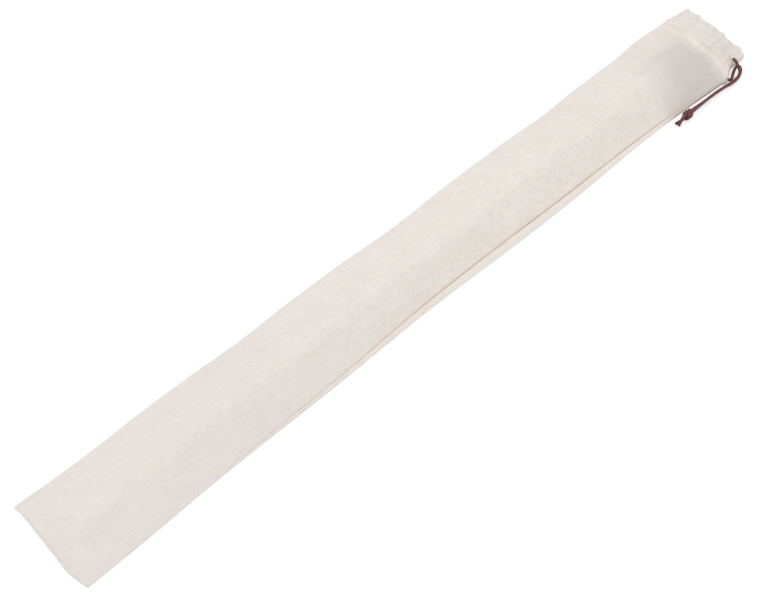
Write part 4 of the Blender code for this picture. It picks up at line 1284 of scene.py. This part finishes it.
def build_head(skin, bone_white, brass_yellow, thread, specks):
    step = END_RING_LENGTH + SLIP
    ferrule_start = JOINT_AT - FERRULE_LENGTH
    lip = JOINT_AT - FERRULE_WALL
    bottom = JOINT_AT - TENON_REACH - SLIP
    socket = TENON_RADIUS + TENON_PLAY
    lining = socket + SOCKET_WALL
    counterbore = lining + SOCKET_SEAT

    def profile(outside):
        return [(UNDER_RING, step), *outside, (UNDER_FERRULE, ferrule_start - SLIP),
                (UNDER_FERRULE, lip - SLIP), (counterbore, lip - SLIP),
                (counterbore, bottom - SLIP), (BORE_RADIUS, bottom - SLIP),
                (BORE_RADIUS, END_RING_LIP + SLIP), (UNDER_RING, END_RING_LIP + SLIP)]

    head = bamboo_tube("head_bamboo", profile, step, ferrule_start - SLIP, HEAD_NODES,
                       [(BLOW_HOLE_AT, BLOW_HOLE, -1)], skin)
    keep(head, "flute_head", "bamboo", "head_tube")
    keep(end_ring("head_bone_ring", END_RING_LENGTH, -1, bone_white), "flute_head", "bone",
         "head_end_ring")
    brass_in = [(RING_RADIUS, JOINT_AT), (RING_RADIUS, ferrule_start), (FERRULE_SEAT, ferrule_start),
                (FERRULE_SEAT, lip), (lining, lip), (lining, bottom), (socket, bottom),
                (socket, JOINT_AT)]
    keep(turned("brass_socket", rounded(brass_in, BRASS_EDGE), brass_yellow), "flute_head", "brass",
         "joint_socket")
    centre, side = 0.0001, BORE_RADIUS - SLIP
    cork_start = BLOW_HOLE_AT - CORK_TO_BLOW_HOLE - CORK_LENGTH
    cork_end = cork_start + CORK_LENGTH
    cork_shape = [(centre, cork_start), (side, cork_start), (side, cork_end), (centre, cork_end)]
    cork = turned("cork_plug", rounded(cork_shape, CORK_EDGE), cork_material(specks), sides=64)
    keep(cork, "flute_head", "cork", "cork_stopper")
    bind("flute_head", "head_binding_%d", HEAD_BINDINGS, thread)


def build_foot(skin, bone_white, brass_yellow, thread):
    start = JOINT_AT + SLIP
    lip = start + FERRULE_WALL
    ferrule_end = start + FERRULE_LENGTH
    tail = ferrule_end + TENON_TAIL
    tip = JOINT_AT - TENON_REACH
    brass_out = [(RING_RADIUS, ferrule_end), (RING_RADIUS, start), (TENON_RADIUS, start),
                 (TENON_RADIUS, tip), (BORE_RADIUS, tip), (BORE_RADIUS, tail), (TENON_RADIUS, tail),
                 (TENON_RADIUS, lip), (FERRULE_SEAT, lip), (FERRULE_SEAT, ferrule_end)]
    keep(turned("brass_tenon", rounded(brass_out, BRASS_EDGE), brass_yellow), "flute_foot", "brass",
         "joint_tenon")
    counterbore = TENON_RADIUS + SOCKET_SEAT
    step = DIZI_LENGTH - END_RING_LENGTH - SLIP
    face = DIZI_LENGTH - END_RING_LIP - SLIP

    def profile(outside):
        return [(UNDER_FERRULE, ferrule_end + SLIP), *outside, (UNDER_RING, step),
                (UNDER_RING, face), (BORE_RADIUS, face), (BORE_RADIUS, tail + SLIP),
                (counterbore, tail + SLIP), (counterbore, lip + SLIP), (UNDER_FERRULE, lip + SLIP)]

    holes = [(MEMBRANE_AT, MEMBRANE_HOLE, -1)]
    holes += [(along, FINGER_HOLE, -1) for along in FINGER_HOLES]
    holes += [(along, TONE_HOLE, -1) for along in FRONT_HOLES]
    holes += [(along, TONE_HOLE, 1) for along in BACK_HOLES]
    foot = bamboo_tube("foot_bamboo", profile, ferrule_end + SLIP, step, FOOT_NODES, holes, skin)
    keep(foot, "flute_foot", "bamboo", "foot_tube")
    keep(membrane(film_material()), "flute_foot", "membrane", "dimo_membrane")
    keep(end_ring("foot_bone_ring", DIZI_LENGTH - END_RING_LENGTH, 1, bone_white), "flute_foot",
         "bone", "foot_end_ring")
    bind("flute_foot", "foot_binding_%02d", FOOT_BINDINGS, thread)


def main():
    studio()
    specks, wear = flecks(), fine_wear()
    thread = thread_material("lacquered_thread", (0.018, 0.005, 0.005), (0.06, 0.012, 0.011), 0.32)
    skin, bone_white, brass_yellow = bamboo(wear), bone(wear), brass(wear)
    build_bag(specks)
    build_head(skin, bone_white, brass_yellow, thread, specks)
    build_foot(skin, bone_white, brass_yellow, thread)


main()
